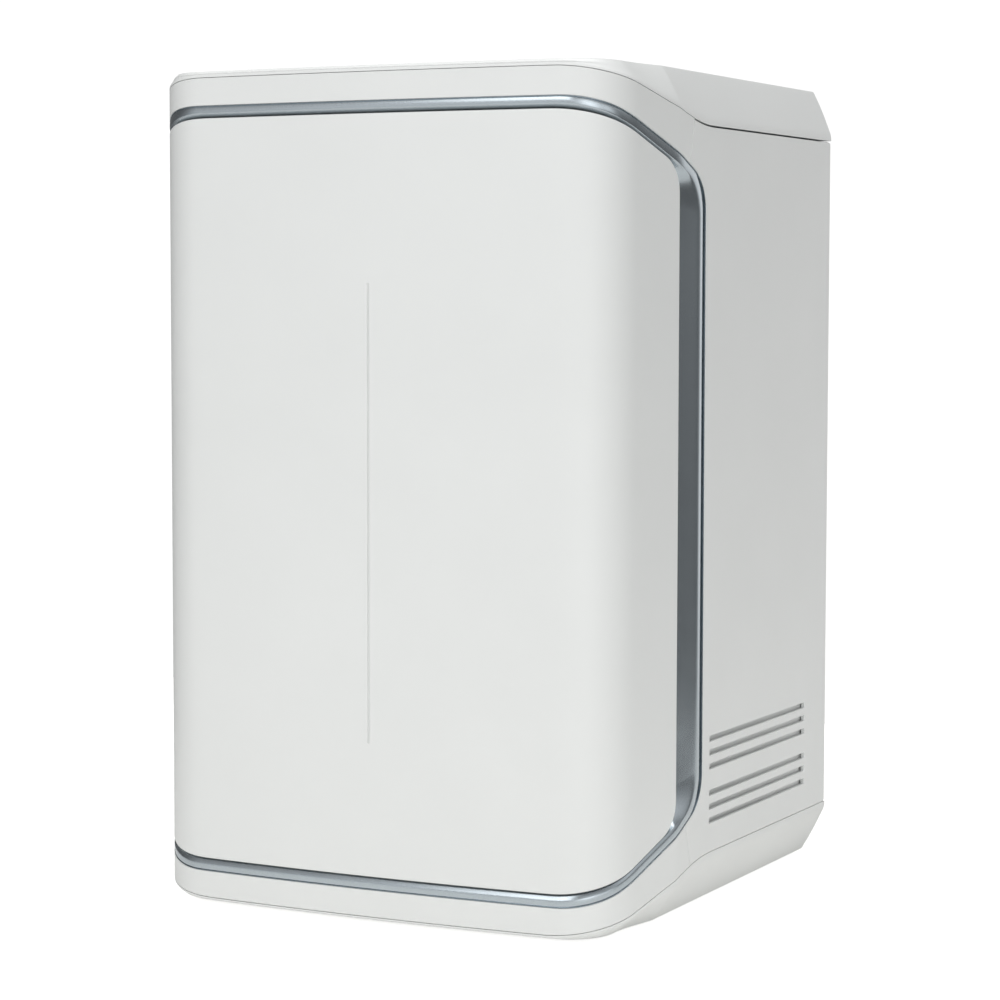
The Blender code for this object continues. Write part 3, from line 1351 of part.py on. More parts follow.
def add_fan(shop):
    """Cooling fan on the chassis's right wall: a square frame and a rotor on its seat."""
    right = chassis_half() - SHEET - GAP
    left = right - FAN_THICKNESS
    level = (WINDOW_LOW + WINDOW_HIGH) / 2
    depth = REAR_BAY_MIDDLE
    half = FAN_SIZE / 2
    centre = (0, depth, level)
    frame = shop.add(
        "fan_frame", box((left, depth - half, level - half), (right, depth + half, level + half)), shop.black
    )
    shop.cut(frame, cylinder(FAN_BORE_RADIUS, left - OVERRUN, right + OVERRUN, "X", centre, 2 * ROUND_STEPS))
    seat_end = left + FAN_SEAT_THICKNESS
    reach, width = FAN_BORE_RADIUS + OVERRUN / 2, FAN_STRUT_WIDTH / 2
    bars = [
        box((left, depth - reach, level - width), (seat_end, depth + reach, level + width)),
        box((left, depth - width, level - reach), (seat_end, depth + width, level + reach)),
    ]
    for bar in bars:
        shop.combine(frame, bar, "UNION")
    shop.combine(frame, cylinder(FAN_HUB_RADIUS, left, seat_end, "X", centre), "UNION")
    start, end = seat_end + GAP, right - FAN_SEAT_THICKNESS / 2
    axis = shop.joint("fan_axis", centre)
    rotor = shop.add("fan_rotor", cylinder(FAN_HUB_RADIUS, start, end, "X", centre), shop.grey, axis)
    shop.combine(rotor, fan_blades((start + end) / 2, (end - start) * FAN_BLADE_DEPTH_SHARE, centre), "UNION")


def fan_blades(middle, depth, centre):
    """The rotor's blades, pitched round its axis and rooted in its hub."""
    bm = bmesh.new()
    root = FAN_HUB_RADIUS - OVERRUN / 2
    chord = depth / math.cos(FAN_BLADE_PITCH)
    for blade in range(FAN_BLADES):
        size = Matrix.Diagonal((chord, FAN_BLADE_THICKNESS, FAN_TIP_RADIUS - root, 1))
        place = Matrix.Translation((0, 0, (root + FAN_TIP_RADIUS) / 2))
        pitch = Matrix.Rotation(FAN_BLADE_PITCH, 4, "Z")
        turn = Matrix.Rotation(2 * math.pi * blade / FAN_BLADES, 4, "X")
        bmesh.ops.create_cube(
            bm, size=1, matrix=Matrix.Translation((middle, *centre[1:])) @ turn @ place @ pitch @ size
        )
    return mesh_of(bm)


def add_power_entry(shop):
    """Power entry on the rear panel: socket with pins, rocker switch and fuse drawer."""
    half_width, half_height = ENTRY_WIDTH / 2, ENTRY_HEIGHT / 2
    face = DEPTH + GAP + ENTRY_FLANGE
    entry = shop.add("power_inlet", box(
        (ENTRY_SIDE - half_width, face - ENTRY_FLANGE / 2 - ENTRY_DEPTH, ENTRY_LEVEL - half_height),
        (ENTRY_SIDE + half_width, face - ENTRY_FLANGE / 2, ENTRY_LEVEL + half_height),
    ), shop.black)
    margin = ENTRY_FLANGE_MARGIN
    shop.combine(entry, box(
        (ENTRY_SIDE - half_width - margin, DEPTH + GAP, ENTRY_LEVEL - half_height - margin),
        (ENTRY_SIDE + half_width + margin, face, ENTRY_LEVEL + half_height + margin),
    ), "UNION")
    recesses = (
        (SOCKET_WIDTH, SOCKET_HEIGHT, SOCKET_DEPTH, SOCKET_RISE),
        (SWITCH_WIDTH, SWITCH_HEIGHT, SWITCH_DEPTH, SWITCH_RISE),
        (FUSE_WIDTH, FUSE_HEIGHT, FUSE_DEPTH, FUSE_RISE),
    )
    for width, height, depth, rise in recesses:
        level = ENTRY_LEVEL + rise
        shop.cut(entry, box(
            (ENTRY_SIDE - width / 2, face - depth, level - height / 2),
            (ENTRY_SIDE + width / 2, face + OVERRUN, level + height / 2),
        ))
    floor = face - SOCKET_DEPTH
    level = ENTRY_LEVEL + SOCKET_RISE
    for side, rise in ((-PIN_SPREAD, -PIN_HEIGHT / 4), (0, PIN_HEIGHT / 4), (PIN_SPREAD, -PIN_HEIGHT / 4)):
        shop.combine(entry, box(
            (ENTRY_SIDE + side - PIN_WIDTH / 2, floor - OVERRUN, level + rise - PIN_HEIGHT / 2),
            (ENTRY_SIDE + side + PIN_WIDTH / 2, floor + PIN_LENGTH, level + rise + PIN_HEIGHT / 2),
        ), "UNION")
    add_rocker(shop, face)
    add_fuse_drawer(shop, face)


def add_rocker(shop, face):
    """Rocker switch: a bar with a dished face that tips about a level axis."""
    level = ENTRY_LEVEL + SWITCH_RISE
    pivot = face - SWITCH_DEPTH / 2
    axis = shop.joint("rocker_axis", (ENTRY_SIDE, pivot, level), (ROCKER_TILT, 0, 0))
    half = SWITCH_HEIGHT / 2 - ROCKER_PLAY
    back = pivot - SWITCH_DEPTH / 2 + 2 * ROCKER_PLAY
    dish = half * ROCKER_DISH_SHARE
    root = half - dish
    proud = face + ROCKER_PROUD
    outline = [
        (back, level - root), (face, level - half), (proud, level - half), (proud - dish, level),
        (proud, level + half), (face, level + half), (back, level + root),
    ]
    bm = flat_plate([outline], SWITCH_WIDTH - 2 * ROCKER_PLAY)
    sideways = Matrix(((0, 0, 1, ENTRY_SIDE), (1, 0, 0, 0), (0, 1, 0, 0), (0, 0, 0, 1)))
    bmesh.ops.transform(bm, matrix=sideways, verts=bm.verts)
    shop.add("power_rocker", mesh_of(bm), shop.black, axis)


def add_fuse_drawer(shop, face):
    """Fuse drawer that slides out backwards below the socket."""
    level = ENTRY_LEVEL + FUSE_RISE
    half_width, half_height = FUSE_WIDTH / 2 - FUSE_PLAY, FUSE_HEIGHT / 2 - FUSE_PLAY
    drawer = shop.add("fuse_drawer", box(
        (ENTRY_SIDE - half_width, face - FUSE_DEPTH + GAP, level - half_height),
        (ENTRY_SIDE + half_width, face + FUSE_FRONT / 2, level + half_height),
    ), shop.grey)
    half_width, half_height = FUSE_WIDTH / 2 + FUSE_FRONT_MARGIN, FUSE_HEIGHT / 2 + FUSE_FRONT_MARGIN
    shop.combine(drawer, box(
        (ENTRY_SIDE - half_width, face + GAP, level - half_height),
        (ENTRY_SIDE + half_width, face + FUSE_FRONT, level + half_height),
    ), "UNION")


def add_data_sockets(shop):
    """A row of data sockets on the rear panel."""
    half = DATA_SOCKETS * DATA_PITCH / 2
    half_height = DATA_OPENING_HEIGHT / 2 + DATA_WALL
    face = DEPTH + GAP + DATA_FLANGE
    block = shop.add("data_sockets", box(
        (DATA_SIDE - half, face - DATA_DEPTH - DATA_WALL, DATA_LEVEL - half_height),
        (DATA_SIDE + half, face, DATA_LEVEL + half_height),
    ), shop.black)
    for index in range(DATA_SOCKETS):
        side = DATA_SIDE + (index - (DATA_SOCKETS - 1) / 2) * DATA_PITCH
        shop.cut(block, box(
            (side - DATA_OPENING_WIDTH / 2, face - DATA_DEPTH, DATA_LEVEL - DATA_OPENING_HEIGHT / 2),
            (side + DATA_OPENING_WIDTH / 2, face + OVERRUN, DATA_LEVEL + DATA_OPENING_HEIGHT / 2),
        ))


def add_fittings(shop):
    """Push-fit tube fittings through the rear panel, each with a sprung release collar."""
    mouth = fitting_mouth()
    nut = GAP + FITTING_NUT_THICKNESS
    pocket_floor = mouth - COLLAR_POCKET
    pocket = COLLAR_RADIUS + COLLAR_PLAY
    body = [
        (0, mouth - FITTING_BORE_DEPTH), (FITTING_BORE_RADIUS, mouth - FITTING_BORE_DEPTH),
        (FITTING_BORE_RADIUS, pocket_floor), (pocket, pocket_floor), (pocket, mouth),
        (FITTING_BARREL_RADIUS, mouth), (FITTING_BARREL_RADIUS, nut), (FITTING_NUT_RADIUS, nut),
        (FITTING_NUT_RADIUS, GAP), (FITTING_STEM_RADIUS, GAP), (FITTING_STEM_RADIUS, -FITTING_STEM_LENGTH),
        (0, -FITTING_STEM_LENGTH),
    ]
    under = mouth + COLLAR_TRAVEL + GAP
    collar = [
        (FITTING_BORE_RADIUS, under + COLLAR_FLANGE), (COLLAR_FLANGE_RADIUS, under + COLLAR_FLANGE),
        (COLLAR_FLANGE_RADIUS, under), (COLLAR_RADIUS, under),
        (COLLAR_RADIUS, pocket_floor + COLLAR_TRAVEL + GAP),
        (FITTING_BORE_RADIUS, pocket_floor + COLLAR_TRAVEL + GAP),
        (FITTING_BORE_RADIUS, under + COLLAR_FLANGE),
    ]
    for name, side in zip(("feed", "product", "drain"), fitting_sides()):
        place = (side, DEPTH, FITTING_LEVEL)
        shop.add(f"{name}_fitting", turned(body, "Y", place), shop.black)
        axis = shop.joint(f"{name}_collar_axis", place)
        shop.add(f"{name}_collar", turned(collar, "Y", place), shop.blue, axis)


def add_tubes(shop):
    """Water tubes behind the bulkhead, each led in a bend from one port to another."""
    inner = DEPTH - FITTING_STEM_LENGTH - GAP
    feed, product, drain = [(side, inner, FITTING_LEVEL) for side in fitting_sides()]
    stub = (stub_sides()[-1], BULKHEAD_DEPTH + SHEET + STUB_LENGTH + GAP, stub_level())
    back, front, up, down, right = (0, 1, 0), (0, -1, 0), (0, 0, 1), (0, 0, -1), (1, 0, 0)
    head_end = MOTOR_LEFT + MOTOR_LENGTH + GAP + PUMP_HEAD_LENGTH
    head_side = head_end - PUMP_HEAD_LENGTH * (1 - PUMP_WAIST_SHARE) / 2
    outlet = (STACK_LEFT + END_PLATE, stack_front() + STACK_DEPTH - END_PLATE, STACK_LOW - GAP)
    pull = REAR_BAY * TUBE_PULL_SHARE
    rise = (stub_level() - PUMP_HEIGHT) * TUBE_PULL_SHARE
    routes = {
        "feed_tube": (feed, front, (head_side, PUMP_DEPTH, PUMP_HEIGHT + PUMP_HEAD_RADIUS + GAP), up, pull),
        "pump_tube": ((head_end + GAP, PUMP_DEPTH, PUMP_HEIGHT), right, stub, back, rise),
        "product_tube": ((LAMP_SIDE, lamp_depth(), LAMP_LOW - GAP), down, product, front, pull),
        "drain_tube": (outlet, down, drain, front, pull),
    }
    for name, route in routes.items():
        shop.add(name, tube_between(*route), shop.clear)


def main():
    """Builds the whole unit."""
    clear_scene()
    shop = Workshop()
    for build in (
        add_covers, add_panels, add_trim, add_chassis, add_soffit_and_sill, add_feet, add_door, add_hinges,
        add_manifold, add_cartridges, add_tray, add_pump, add_stack, add_lamp, add_electronics, add_fan,
        add_power_entry, add_data_sockets, add_fittings, add_tubes,
    ):
        build(shop)


main()
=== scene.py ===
"""Looks of a bench-top ultrapure water system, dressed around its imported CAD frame.

The outer shells, the trim, the door and the cartridges are modelled again as smooth moulded
pieces in the places that the frame gives. The other CAD nodes stay, with softened edges.
Metres throughout, +Z up, -Y out of the front door.
"""

import logging
import math
from dataclasses import dataclass, field, replace
from enum import Enum
from functools import cached_property
from itertools import pairwise
from typing import Any

import bmesh
import bpy
from mathutils import Matrix, Vector


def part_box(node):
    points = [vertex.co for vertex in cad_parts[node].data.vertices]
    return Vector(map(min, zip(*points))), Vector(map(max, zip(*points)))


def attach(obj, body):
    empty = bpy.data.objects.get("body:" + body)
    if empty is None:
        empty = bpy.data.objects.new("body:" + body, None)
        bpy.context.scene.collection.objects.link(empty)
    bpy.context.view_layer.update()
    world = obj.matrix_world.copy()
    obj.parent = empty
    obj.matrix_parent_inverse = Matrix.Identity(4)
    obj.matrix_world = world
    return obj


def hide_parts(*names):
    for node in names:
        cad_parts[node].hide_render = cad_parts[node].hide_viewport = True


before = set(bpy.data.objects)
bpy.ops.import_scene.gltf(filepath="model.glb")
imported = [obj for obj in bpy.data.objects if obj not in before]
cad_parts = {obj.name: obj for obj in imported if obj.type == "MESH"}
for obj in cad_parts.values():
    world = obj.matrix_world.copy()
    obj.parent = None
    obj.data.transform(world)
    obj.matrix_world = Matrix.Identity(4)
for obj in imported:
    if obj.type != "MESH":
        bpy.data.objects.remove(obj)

LOG = logging.getLogger("water_system")
MM = 0.001
TINY = 1e-6
ROUND_STEPS = 72
SHARP_ANGLE = math.radians(32)
# Pitch in metres of the bands of Blender's wave texture at a scale of 1
WAVE_PITCH = 0.314
# Least divisor of a corner's shift, so that a needle-sharp corner can't shoot away
LEAST_MITRE = 0.2
# Where the flat face starts behind a rolled edge, in radii of the edge
FACE_START_SHARE = 1.6
EDGE_STEPS = 4

Loop = list[Vector]
# Points of a section: inset or radius, then depth or height
Profile = list[tuple[float, float]]
Section = tuple[tuple[float, float], ...]
Tree = bpy.types.NodeTree
Socket = bpy.types.NodeSocket


def linear(hex_colour: str) -> tuple[float, float, float, float]:
    """Turns an sRGB hex colour into Blender's linear colour.

    Args:
        hex_colour: Six hex digits after a hash sign.

    Returns:
        Red, green, blue and a full alpha.
    """
    parts = [int(hex_colour[start : start + 2], 16) / 255 for start in (1, 3, 5)]
    # The standard's own curve: a straight foot and a power above it
    red, green, blue = (
        part / 12.92 if part <= 0.04045 else ((part + 0.055) / 1.055) ** 2.4 for part in parts
    )
    return red, green, blue, 1.0


def add_node(
    tree: Tree, kind: str, inputs: dict[str | int, Any] | None = None, **settings: Any
) -> bpy.types.Node:
    """Adds a node with its settings and links.

    Args:
        tree: Node tree of a material or the world.
        kind: Blender's name of the node type.
        inputs: Value or output socket for each named or numbered input.
        settings: Attributes of the node, such as its operation.

    Returns:
        The new node.
    """
    node = tree.nodes.new(kind)
    for name, value in settings.items():
        setattr(node, name, value)
    for name, value in (inputs or {}).items():
        if isinstance(value, Socket):
            tree.links.new(value, node.inputs[name])
        else:
            node.inputs[name].default_value = value
    return node


# Finishes


def scale_of(size_mm: float) -> float:
    """Scale of a texture whose patches have a real size."""
    return 1 / (size_mm * MM)


@dataclass(frozen=True)
class Finish:
    """A procedural finish: a mottled colour, a varied roughness and a fine relief.

    Attributes:
        name: Material name, for the real material and how it was made.
        colour: Main sRGB colour.
        shade: sRGB colour of the mottling.
        roughness: Roughness at the middle of its range.
        metallic: 0 for plastics and rubber, 1 for bare metal.
        ior: Index of refraction.
        grain_mm: Size of the relief's grain.
        relief_mm: Height of the relief.
        mottle_mm: Size of the slow colour patches.
        wear: How much the roughness wanders, either way.
        wear_patches: How many rough patches lie across a colour patch.
        mottle_detail: Octaves of the colour patches; those of the wear and the grain follow.
    """

    name: str
    colour: str
    shade: str
    roughness: float
    metallic: float = 0.0
    ior: float = 1.5
    grain_mm: float = 0.6
    relief_mm: float = 0.02
    mottle_mm: float = 60.0
    wear: float = 0.05
    wear_patches: float = 3.0
    mottle_detail: float = 3.0
    wear_detail: float = 4.0
    grain_detail: float = 2.0

    def share(self, tree: Tree, place: Socket) -> Socket:
        """Share of the shade in the colour: slow patches."""
        patches = add_node(
            tree, "ShaderNodeTexNoise",
            {"Vector": place, "Scale": scale_of(self.mottle_mm), "Detail": self.mottle_detail},
        )
        return patches.outputs["Fac"]

    def tint(self, tree: Tree, place: Socket) -> Socket:
        """Colour: the main one and the shade, mixed by their share."""
        mixed = add_node(
            tree, "ShaderNodeMix",
            {"Factor": self.share(tree, place), "A": linear(self.colour), "B": linear(self.shade)},
            data_type="RGBA",
        )
        return mixed.outputs["Result"]

    def relief(self, tree: Tree, place: Socket) -> Socket:
        """Height of the surface's fine relief, from 0 to 1: a plain grain."""
        grain = add_node(
            tree, "ShaderNodeTexNoise",
            {"Vector": place, "Scale": scale_of(self.grain_mm), "Detail": self.grain_detail},
        )
        return grain.outputs["Fac"]

    def adjust(self, shader: bpy.types.Node) -> None:
        """Lets a kind of finish set what else its shader needs."""

    @cached_property
    def material(self) -> bpy.types.Material:
        """The Blender material, made on first use. Its pattern rides with the piece."""
        made = bpy.data.materials.new(self.name)
        made.use_nodes = True
        tree = made.node_tree
        shader = tree.nodes["Principled BSDF"]
        place = add_node(tree, "ShaderNodeTexCoord").outputs["Object"]
        worn = add_node(
            tree, "ShaderNodeTexNoise",
            {"Vector": place, "Scale": scale_of(self.mottle_mm / self.wear_patches),
             "Detail": self.wear_detail},
        )
        wander = add_node(
            tree, "ShaderNodeMapRange",
            {"Value": worn.outputs["Fac"], "To Min": self.roughness - self.wear,
             "To Max": self.roughness + self.wear},
        )
        bump = add_node(
            tree, "ShaderNodeBump",
            {"Height": self.relief(tree, place), "Distance": self.relief_mm * MM, "Strength": 1.0},
        )
        tree.links.new(self.tint(tree, place), shader.inputs["Base Color"])
        tree.links.new(wander.outputs["Result"], shader.inputs["Roughness"])
        tree.links.new(bump.outputs["Normal"], shader.inputs["Normal"])
        shader.inputs["Metallic"].default_value = self.metallic
        shader.inputs["IOR"].default_value = self.ior
        self.adjust(shader)
        return made


@dataclass(frozen=True)
class FlakePaint(Finish):
    """Metallic paint under a thin clear coat, with painted glints: each flake a cell of lighter or
    darker colour.
    """

    flake_glint_mm: float = 0.5
    coat: float = 0.35
    coat_roughness: float = 0.08

    def share(self, tree: Tree, place: Socket) -> Socket:
        """Share of the shade: a cell for each flake, a painted glint in place of flakes that catch the
        light one by one.
        """
        # Painted glints: the flakes' cells are lighter and darker in the colour, and not tilted in the
        # surface
        flakes = add_node(
            tree, "ShaderNodeTexVoronoi", {"Vector": place, "Scale": scale_of(self.flake_glint_mm)}
        )
        return flakes.outputs["Distance"]

    def adjust(self, shader: bpy.types.Node) -> None:
        """Adds the clear coat."""
        shader.inputs["Coat Weight"].default_value = self.coat
        shader.inputs["Coat Roughness"].default_value = self.coat_roughness


@dataclass(frozen=True)
class BrushedMetal(Finish):
    """Metal with a grain of fine scratches along one axis."""

    grain_detail: float = 3.0
    stretch: tuple[float, float, float] = (1.0, 1.0, 0.03)

    def relief(self, tree: Tree, place: Socket) -> Socket:
        """Height: the grain, drawn out along the brushing."""
        drawn = add_node(
            tree, "ShaderNodeVectorMath", {0: place, 1: self.stretch}, operation="MULTIPLY"
        )
        return super().relief(tree, drawn.outputs["Vector"])


@dataclass(frozen=True)
class TurnedMetal(Finish):
    """Machined metal with the fine rings that a lathe tool leaves."""

    waver: float = 0.4

    def relief(self, tree: Tree, place: Socket) -> Socket:
        """Height: bands across the piece, a tool feed apart."""
        rings = add_node(
            tree, "ShaderNodeTexWave",
            {"Vector": place, "Scale": WAVE_PITCH / (self.grain_mm * MM), "Distortion": self.waver},
            bands_direction="X",
        )
        return rings.outputs["Fac"]


@dataclass(frozen=True)
class StackedSheets(Finish):
    """A pack of thin plates, in the shade, and gaskets, in the main colour: level lines round it."""

    pitch_mm: float = 3.0

    def relief(self, tree: Tree, place: Socket) -> Socket:
        """Height: one ridge for each plate."""
        ridges = add_node(
            tree, "ShaderNodeTexWave", {"Vector": place, "Scale": WAVE_PITCH / (self.pitch_mm * MM)},
            bands_direction="Z",
        )
        return ridges.outputs["Fac"]

    def share(self, tree: Tree, place: Socket) -> Socket:
        """Share of the shade: full on a plate's ridge."""
        return self.relief(tree, place)


@dataclass(frozen=True)
class PrintedBoard(Finish):
    """Glass-fibre board under green solder mask, with copper tracks that show through it."""

    track_mm: float = 3.2
    track_edges: tuple[float, float] = (0.36, 0.42)
    tracks: str = "#4f8f5a"

    def relief(self, tree: Tree, place: Socket) -> Socket:
        """Height: a maze of square cells, each track a little proud.

        Args:
            tree: Node tree of the material.
            place: Socket with the surface's place in metres.

        Returns:
            The height's socket.
        """
        cells = add_node(
            tree, "ShaderNodeTexVoronoi", {"Vector": place, "Scale": scale_of(self.track_mm)},
            feature="F1", distance="CHEBYCHEV",
        )
        inner, outer = self.track_edges
        edge = add_node(
            tree, "ShaderNodeMapRange",
            {"Value": cells.outputs["Distance"], "From Min": inner, "From Max": outer},
        )
        return edge.outputs["Result"]

    def tint(self, tree: Tree, place: Socket) -> Socket:
        """Colour: the mask over bare board and, lighter, over copper."""
        mixed = add_node(
            tree, "ShaderNodeMix",
            {"Factor": self.relief(tree, place), "A": super().tint(tree, place),
             "B": linear(self.tracks)},
            data_type="RGBA",
        )
        return mixed.outputs["Result"]


@dataclass(frozen=True)
class ClearPlastic(Finish):
    """Milky or clear plastic that lets part of the light through."""

    clear: float = 0.5

    def adjust(self, shader: bpy.types.Node) -> None:
        """Lets light through the piece."""
        shader.inputs["Transmission Weight"].default_value = self.clear


# White ABS from a lightly textured mould: satin, faintly mottled, with a grain too fine to see,
# drawn at 0.7 mm so that it softens the highlights.
WHITE_ABS = Finish(
    "white_abs_textured_mould", "#e9ebea", "#e4e6e5", 0.40, ior=1.53, grain_mm=0.7, relief_mm=0.004,
    mottle_mm=90.0, wear=0.04,
)
# White polypropylene from a plain steel mould, for the cartridges: a little glossier and warmer.
CARTRIDGE_WHITE = Finish(
    "white_polypropylene_moulded", "#e6e6df", "#dddcd3", 0.34, grain_mm=1.4, relief_mm=0.01,
    mottle_mm=40.0,
)
# Silver metallic paint, sprayed: it mirrors the studio softly, dark where it faces away, with painted
# glints for its flakes.
SILVER_PAINT = FlakePaint(
    "silver_metallic_paint_sprayed", "#b9c2c8", "#abb4ba", 0.25, metallic=1.0, grain_mm=0.5,
    relief_mm=0.002, wear=0.03,
)
# Zinc-plated sheet steel, rolled: cool grey with small cloudy patches.
ZINC_STEEL = BrushedMetal(
    "zinc_plated_steel_rolled", "#b9bdc2", "#9fa4a8", 0.36, metallic=1.0, grain_mm=0.5,
    relief_mm=0.01, mottle_mm=14.0, wear=0.09,
)
# Stainless steel, brushed upright: streaks along the brushing.
STAINLESS = BrushedMetal(
    "stainless_steel_brushed", "#c9cacc", "#b4b5b8", 0.24, metallic=1.0, grain_mm=0.4,
    relief_mm=0.008, mottle_mm=25.0, wear=0.06,
)
# Grey ABS, moulded with a matt spark-eroded texture.
GREY_ABS = Finish(
    "grey_abs_spark_texture", "#a2a7a8", "#969b9c", 0.52, ior=1.53, grain_mm=0.9, relief_mm=0.03,
    mottle_mm=50.0, wear=0.06,
)
# Black nylon with glass fibre, moulded: dull, with small paler clouds from handling.
BLACK_NYLON = Finish(
    "black_glass_filled_nylon_moulded", "#1d1e20", "#2b2c2f", 0.5, ior=1.53, grain_mm=0.8,
    relief_mm=0.03, mottle_mm=12.0, wear=0.1,
)
# Black natural rubber, pressed: matt, greyed with dust.
RUBBER = Finish(
    "black_rubber_pressed", "#232323", "#34332f", 0.8, ior=1.52, grain_mm=0.8, relief_mm=0.05,
    mottle_mm=8.0, wear=0.1,
)
# Blue acetal, moulded: an even, slightly waxy colour.
BLUE_ACETAL = Finish(
    "blue_acetal_moulded", "#2f86ad", "#2a7aa0", 0.36, ior=1.48, grain_mm=0.7, relief_mm=0.01,
    mottle_mm=15.0,
)
# Blue polypropylene plates with pale gaskets, stacked and clamped: level stripes in deep relief.
CELL_STACK = StackedSheets(
    "blue_plates_and_gaskets_stacked", "#d5d9d6", "#4b8fb0", 0.45, relief_mm=0.5,
)
# Frosted acrylic, moulded: pale, softly glowing through.
FROSTED_ACRYLIC = ClearPlastic(
    "frosted_acrylic_moulded", "#eef0ee", "#e4e7e6", 0.38, ior=1.49, grain_mm=0.5, relief_mm=0.01,
    mottle_mm=30.0, clear=0.15,
)
# Polyethylene tube, extruded: milky, half clear and smooth.
MILKY_TUBE = ClearPlastic(
    "polyethylene_tube_extruded", "#dfe6e6", "#cfd8da", 0.3, ior=1.51, grain_mm=1.0, relief_mm=0.02,
    mottle_mm=10.0, clear=0.45,
)
# Circuit board with solder mask: green, tracks lighter and just proud.
SOLDER_MASK = PrintedBoard(
    "glass_fibre_board_solder_mask", "#1f5a35", "#1a4d2d", 0.3, grain_mm=0.6, relief_mm=0.05,
    mottle_mm=20.0,
)
# Brass, turned: warm yellow with tool rings.
TURNED_BRASS = TurnedMetal(
    "brass_turned", "#c8a458", "#b08c45", 0.26, metallic=1.0, grain_mm=0.8, relief_mm=0.01,
    mottle_mm=9.0, wear=0.07,
)


# Plan of the case


def eased(share: float) -> float:
    """Smooth rise from 0 to 1, flat at both ends."""
    share = min(max(share, 0.0), 1.0)
    return share * share * (3 - 2 * share)


def mix(start: float, end: float, share: float) -> float:
    """Value part of the way from one number to another."""
    return start + (end - start) * share


@dataclass(frozen=True)
class CasePlan:
    """Plan outline of the case: a bowed front, round corners, slanted flanks, straight sides.

    A place on the case is given as on its unrolled skin: the distance along it from the middle
    of the front, the height over its underside, and how far it lies inside the skin.
    """

    half_width: float
    depth: float
    height: float
    front: float
    rise: float
    corner_setback: float = 0.0495
    bow: float = 0.005
    corner_radius: float = 0.044
    flank_slant: float = math.radians(11.5)
    blend_radius: float = 0.030
    bend_steps: tuple[int, ...] = (18, 26, 1, 5, 1)

    @classmethod
    def from_frame(cls) -> "CasePlan":
        """Reads the outer sizes from the CAD nodes."""
        front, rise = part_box("door_skin")[0].y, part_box("bottom_cover")[0].z
        return cls(
            half_width=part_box("right_side_panel")[1].x,
            depth=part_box("rear_panel")[1].y - front,
            height=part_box("top_cover")[1].z - rise,
            front=front,
            rise=rise,
        )

    @cached_property
    def front_half(self) -> float:
        """Half the width of the bowed front."""
        return self.half_width - self.corner_setback

    @cached_property
    def stretches(self) -> list[tuple[float, float]]:
        """Length and curvature of each stretch, from the middle of the front to the back."""
        bow_radius = (self.front_half**2 + self.bow**2) / (2 * self.bow)
        bow_turn = math.asin(self.front_half / bow_radius)
        corner_turn = math.pi / 2 - self.flank_slant - bow_turn
        corner_width = self.corner_radius * (math.cos(self.flank_slant) - math.sin(bow_turn))
        blend_width = self.blend_radius * (1 - math.cos(self.flank_slant))
        flank_width = self.corner_setback - corner_width - blend_width
        rounded = [
            (bow_radius * bow_turn, 1 / bow_radius),
            (self.corner_radius * corner_turn, 1 / self.corner_radius),
            (flank_width / math.sin(self.flank_slant), 0.0),
            (self.blend_radius * self.flank_slant, 1 / self.blend_radius),
        ]
        reached = self.walk(rounded, math.inf)[1]
        return [*rounded, (self.depth - reached, 0.0)]

    @staticmethod
    def walk(stretches: list[tuple[float, float]], along: float) -> tuple[float, float, float]:
        """Follows the outline.

        Args:
            stretches: Length and curvature of each stretch.
            along: Distance to go.

        Returns:
            Sideways and backward place, and the heading there.
        """
        x = y = heading = 0.0
        for length, curvature in stretches:
            step = min(along, length)
            turned = heading + step * curvature
            if curvature:
                x += (math.sin(turned) - math.sin(heading)) / curvature
                y += (math.cos(heading) - math.cos(turned)) / curvature
            else:
                x += step * math.cos(heading)
                y += step * math.sin(heading)
            heading = turned
            along -= step
        return x, y, heading

    @cached_property
    def bends(self) -> list[float]:
        """Distances along the half outline at which a wrapped sheet is bent."""
        places = [0.0]
        for (length, _), steps in zip(self.stretches, self.bend_steps):
            start = places[-1]
            places += [start + length * step / steps for step in range(1, steps + 1)]
        return places

    @cached_property
    def half_girth(self) -> float:
        """Length of the half outline."""
        return self.bends[-1]

    def along_at(self, depth: float) -> float:
        """Where the outline lies a given depth behind the front.

        Args:
            depth: Depth behind the middle of the front.

        Returns:
            Distance along the outline.
        """
        low, high = 0.0, self.half_girth
        while high - low > TINY:
            middle = (low + high) / 2
            if self.walk(self.stretches, middle)[1] < depth:
                low = middle
            else:
                high = middle
        return low

    def point(self, along: float, inset: float, up: float) -> Vector:
        """Place in the row frame of a point on, or inside, the case's skin.

        Args:
            along: Distance from the middle of the front, negative to the left.
            inset: Depth under the skin.
            up: Height over the case's underside.

        Returns:
            The point.
        """
        x, y, heading = self.walk(self.stretches, abs(along))
        x -= inset * math.sin(heading)
        y += inset * math.cos(heading)
        return Vector((math.copysign(x, along), y + self.front, up + self.rise))


def rounded_corner(before: Vector, corner: Vector, after: Vector, radius: float, steps: int) -> Loop:
    """Points of the arc that rounds a corner between two straight runs.

    Args:
        before: End of the run that comes in.
        corner: The sharp corner.
        after: End of the run that goes out.
        radius: Radius of the arc.
        steps: Number of chords.

    Returns:
        The arc's points, one more than its chords.
    """
    back, ahead = (before - corner).normalized(), (after - corner).normalized()
    half_angle = back.angle(ahead) / 2
    centre = corner + (back + ahead).normalized() * (radius / math.sin(half_angle))
    start = corner + back * (radius / math.tan(half_angle)) - centre
    turn = math.copysign(math.pi - 2 * half_angle, back.cross(ahead) * -1)
    return [centre + Matrix.Rotation(turn * step / steps, 2) @ start for step in range(steps + 1)]


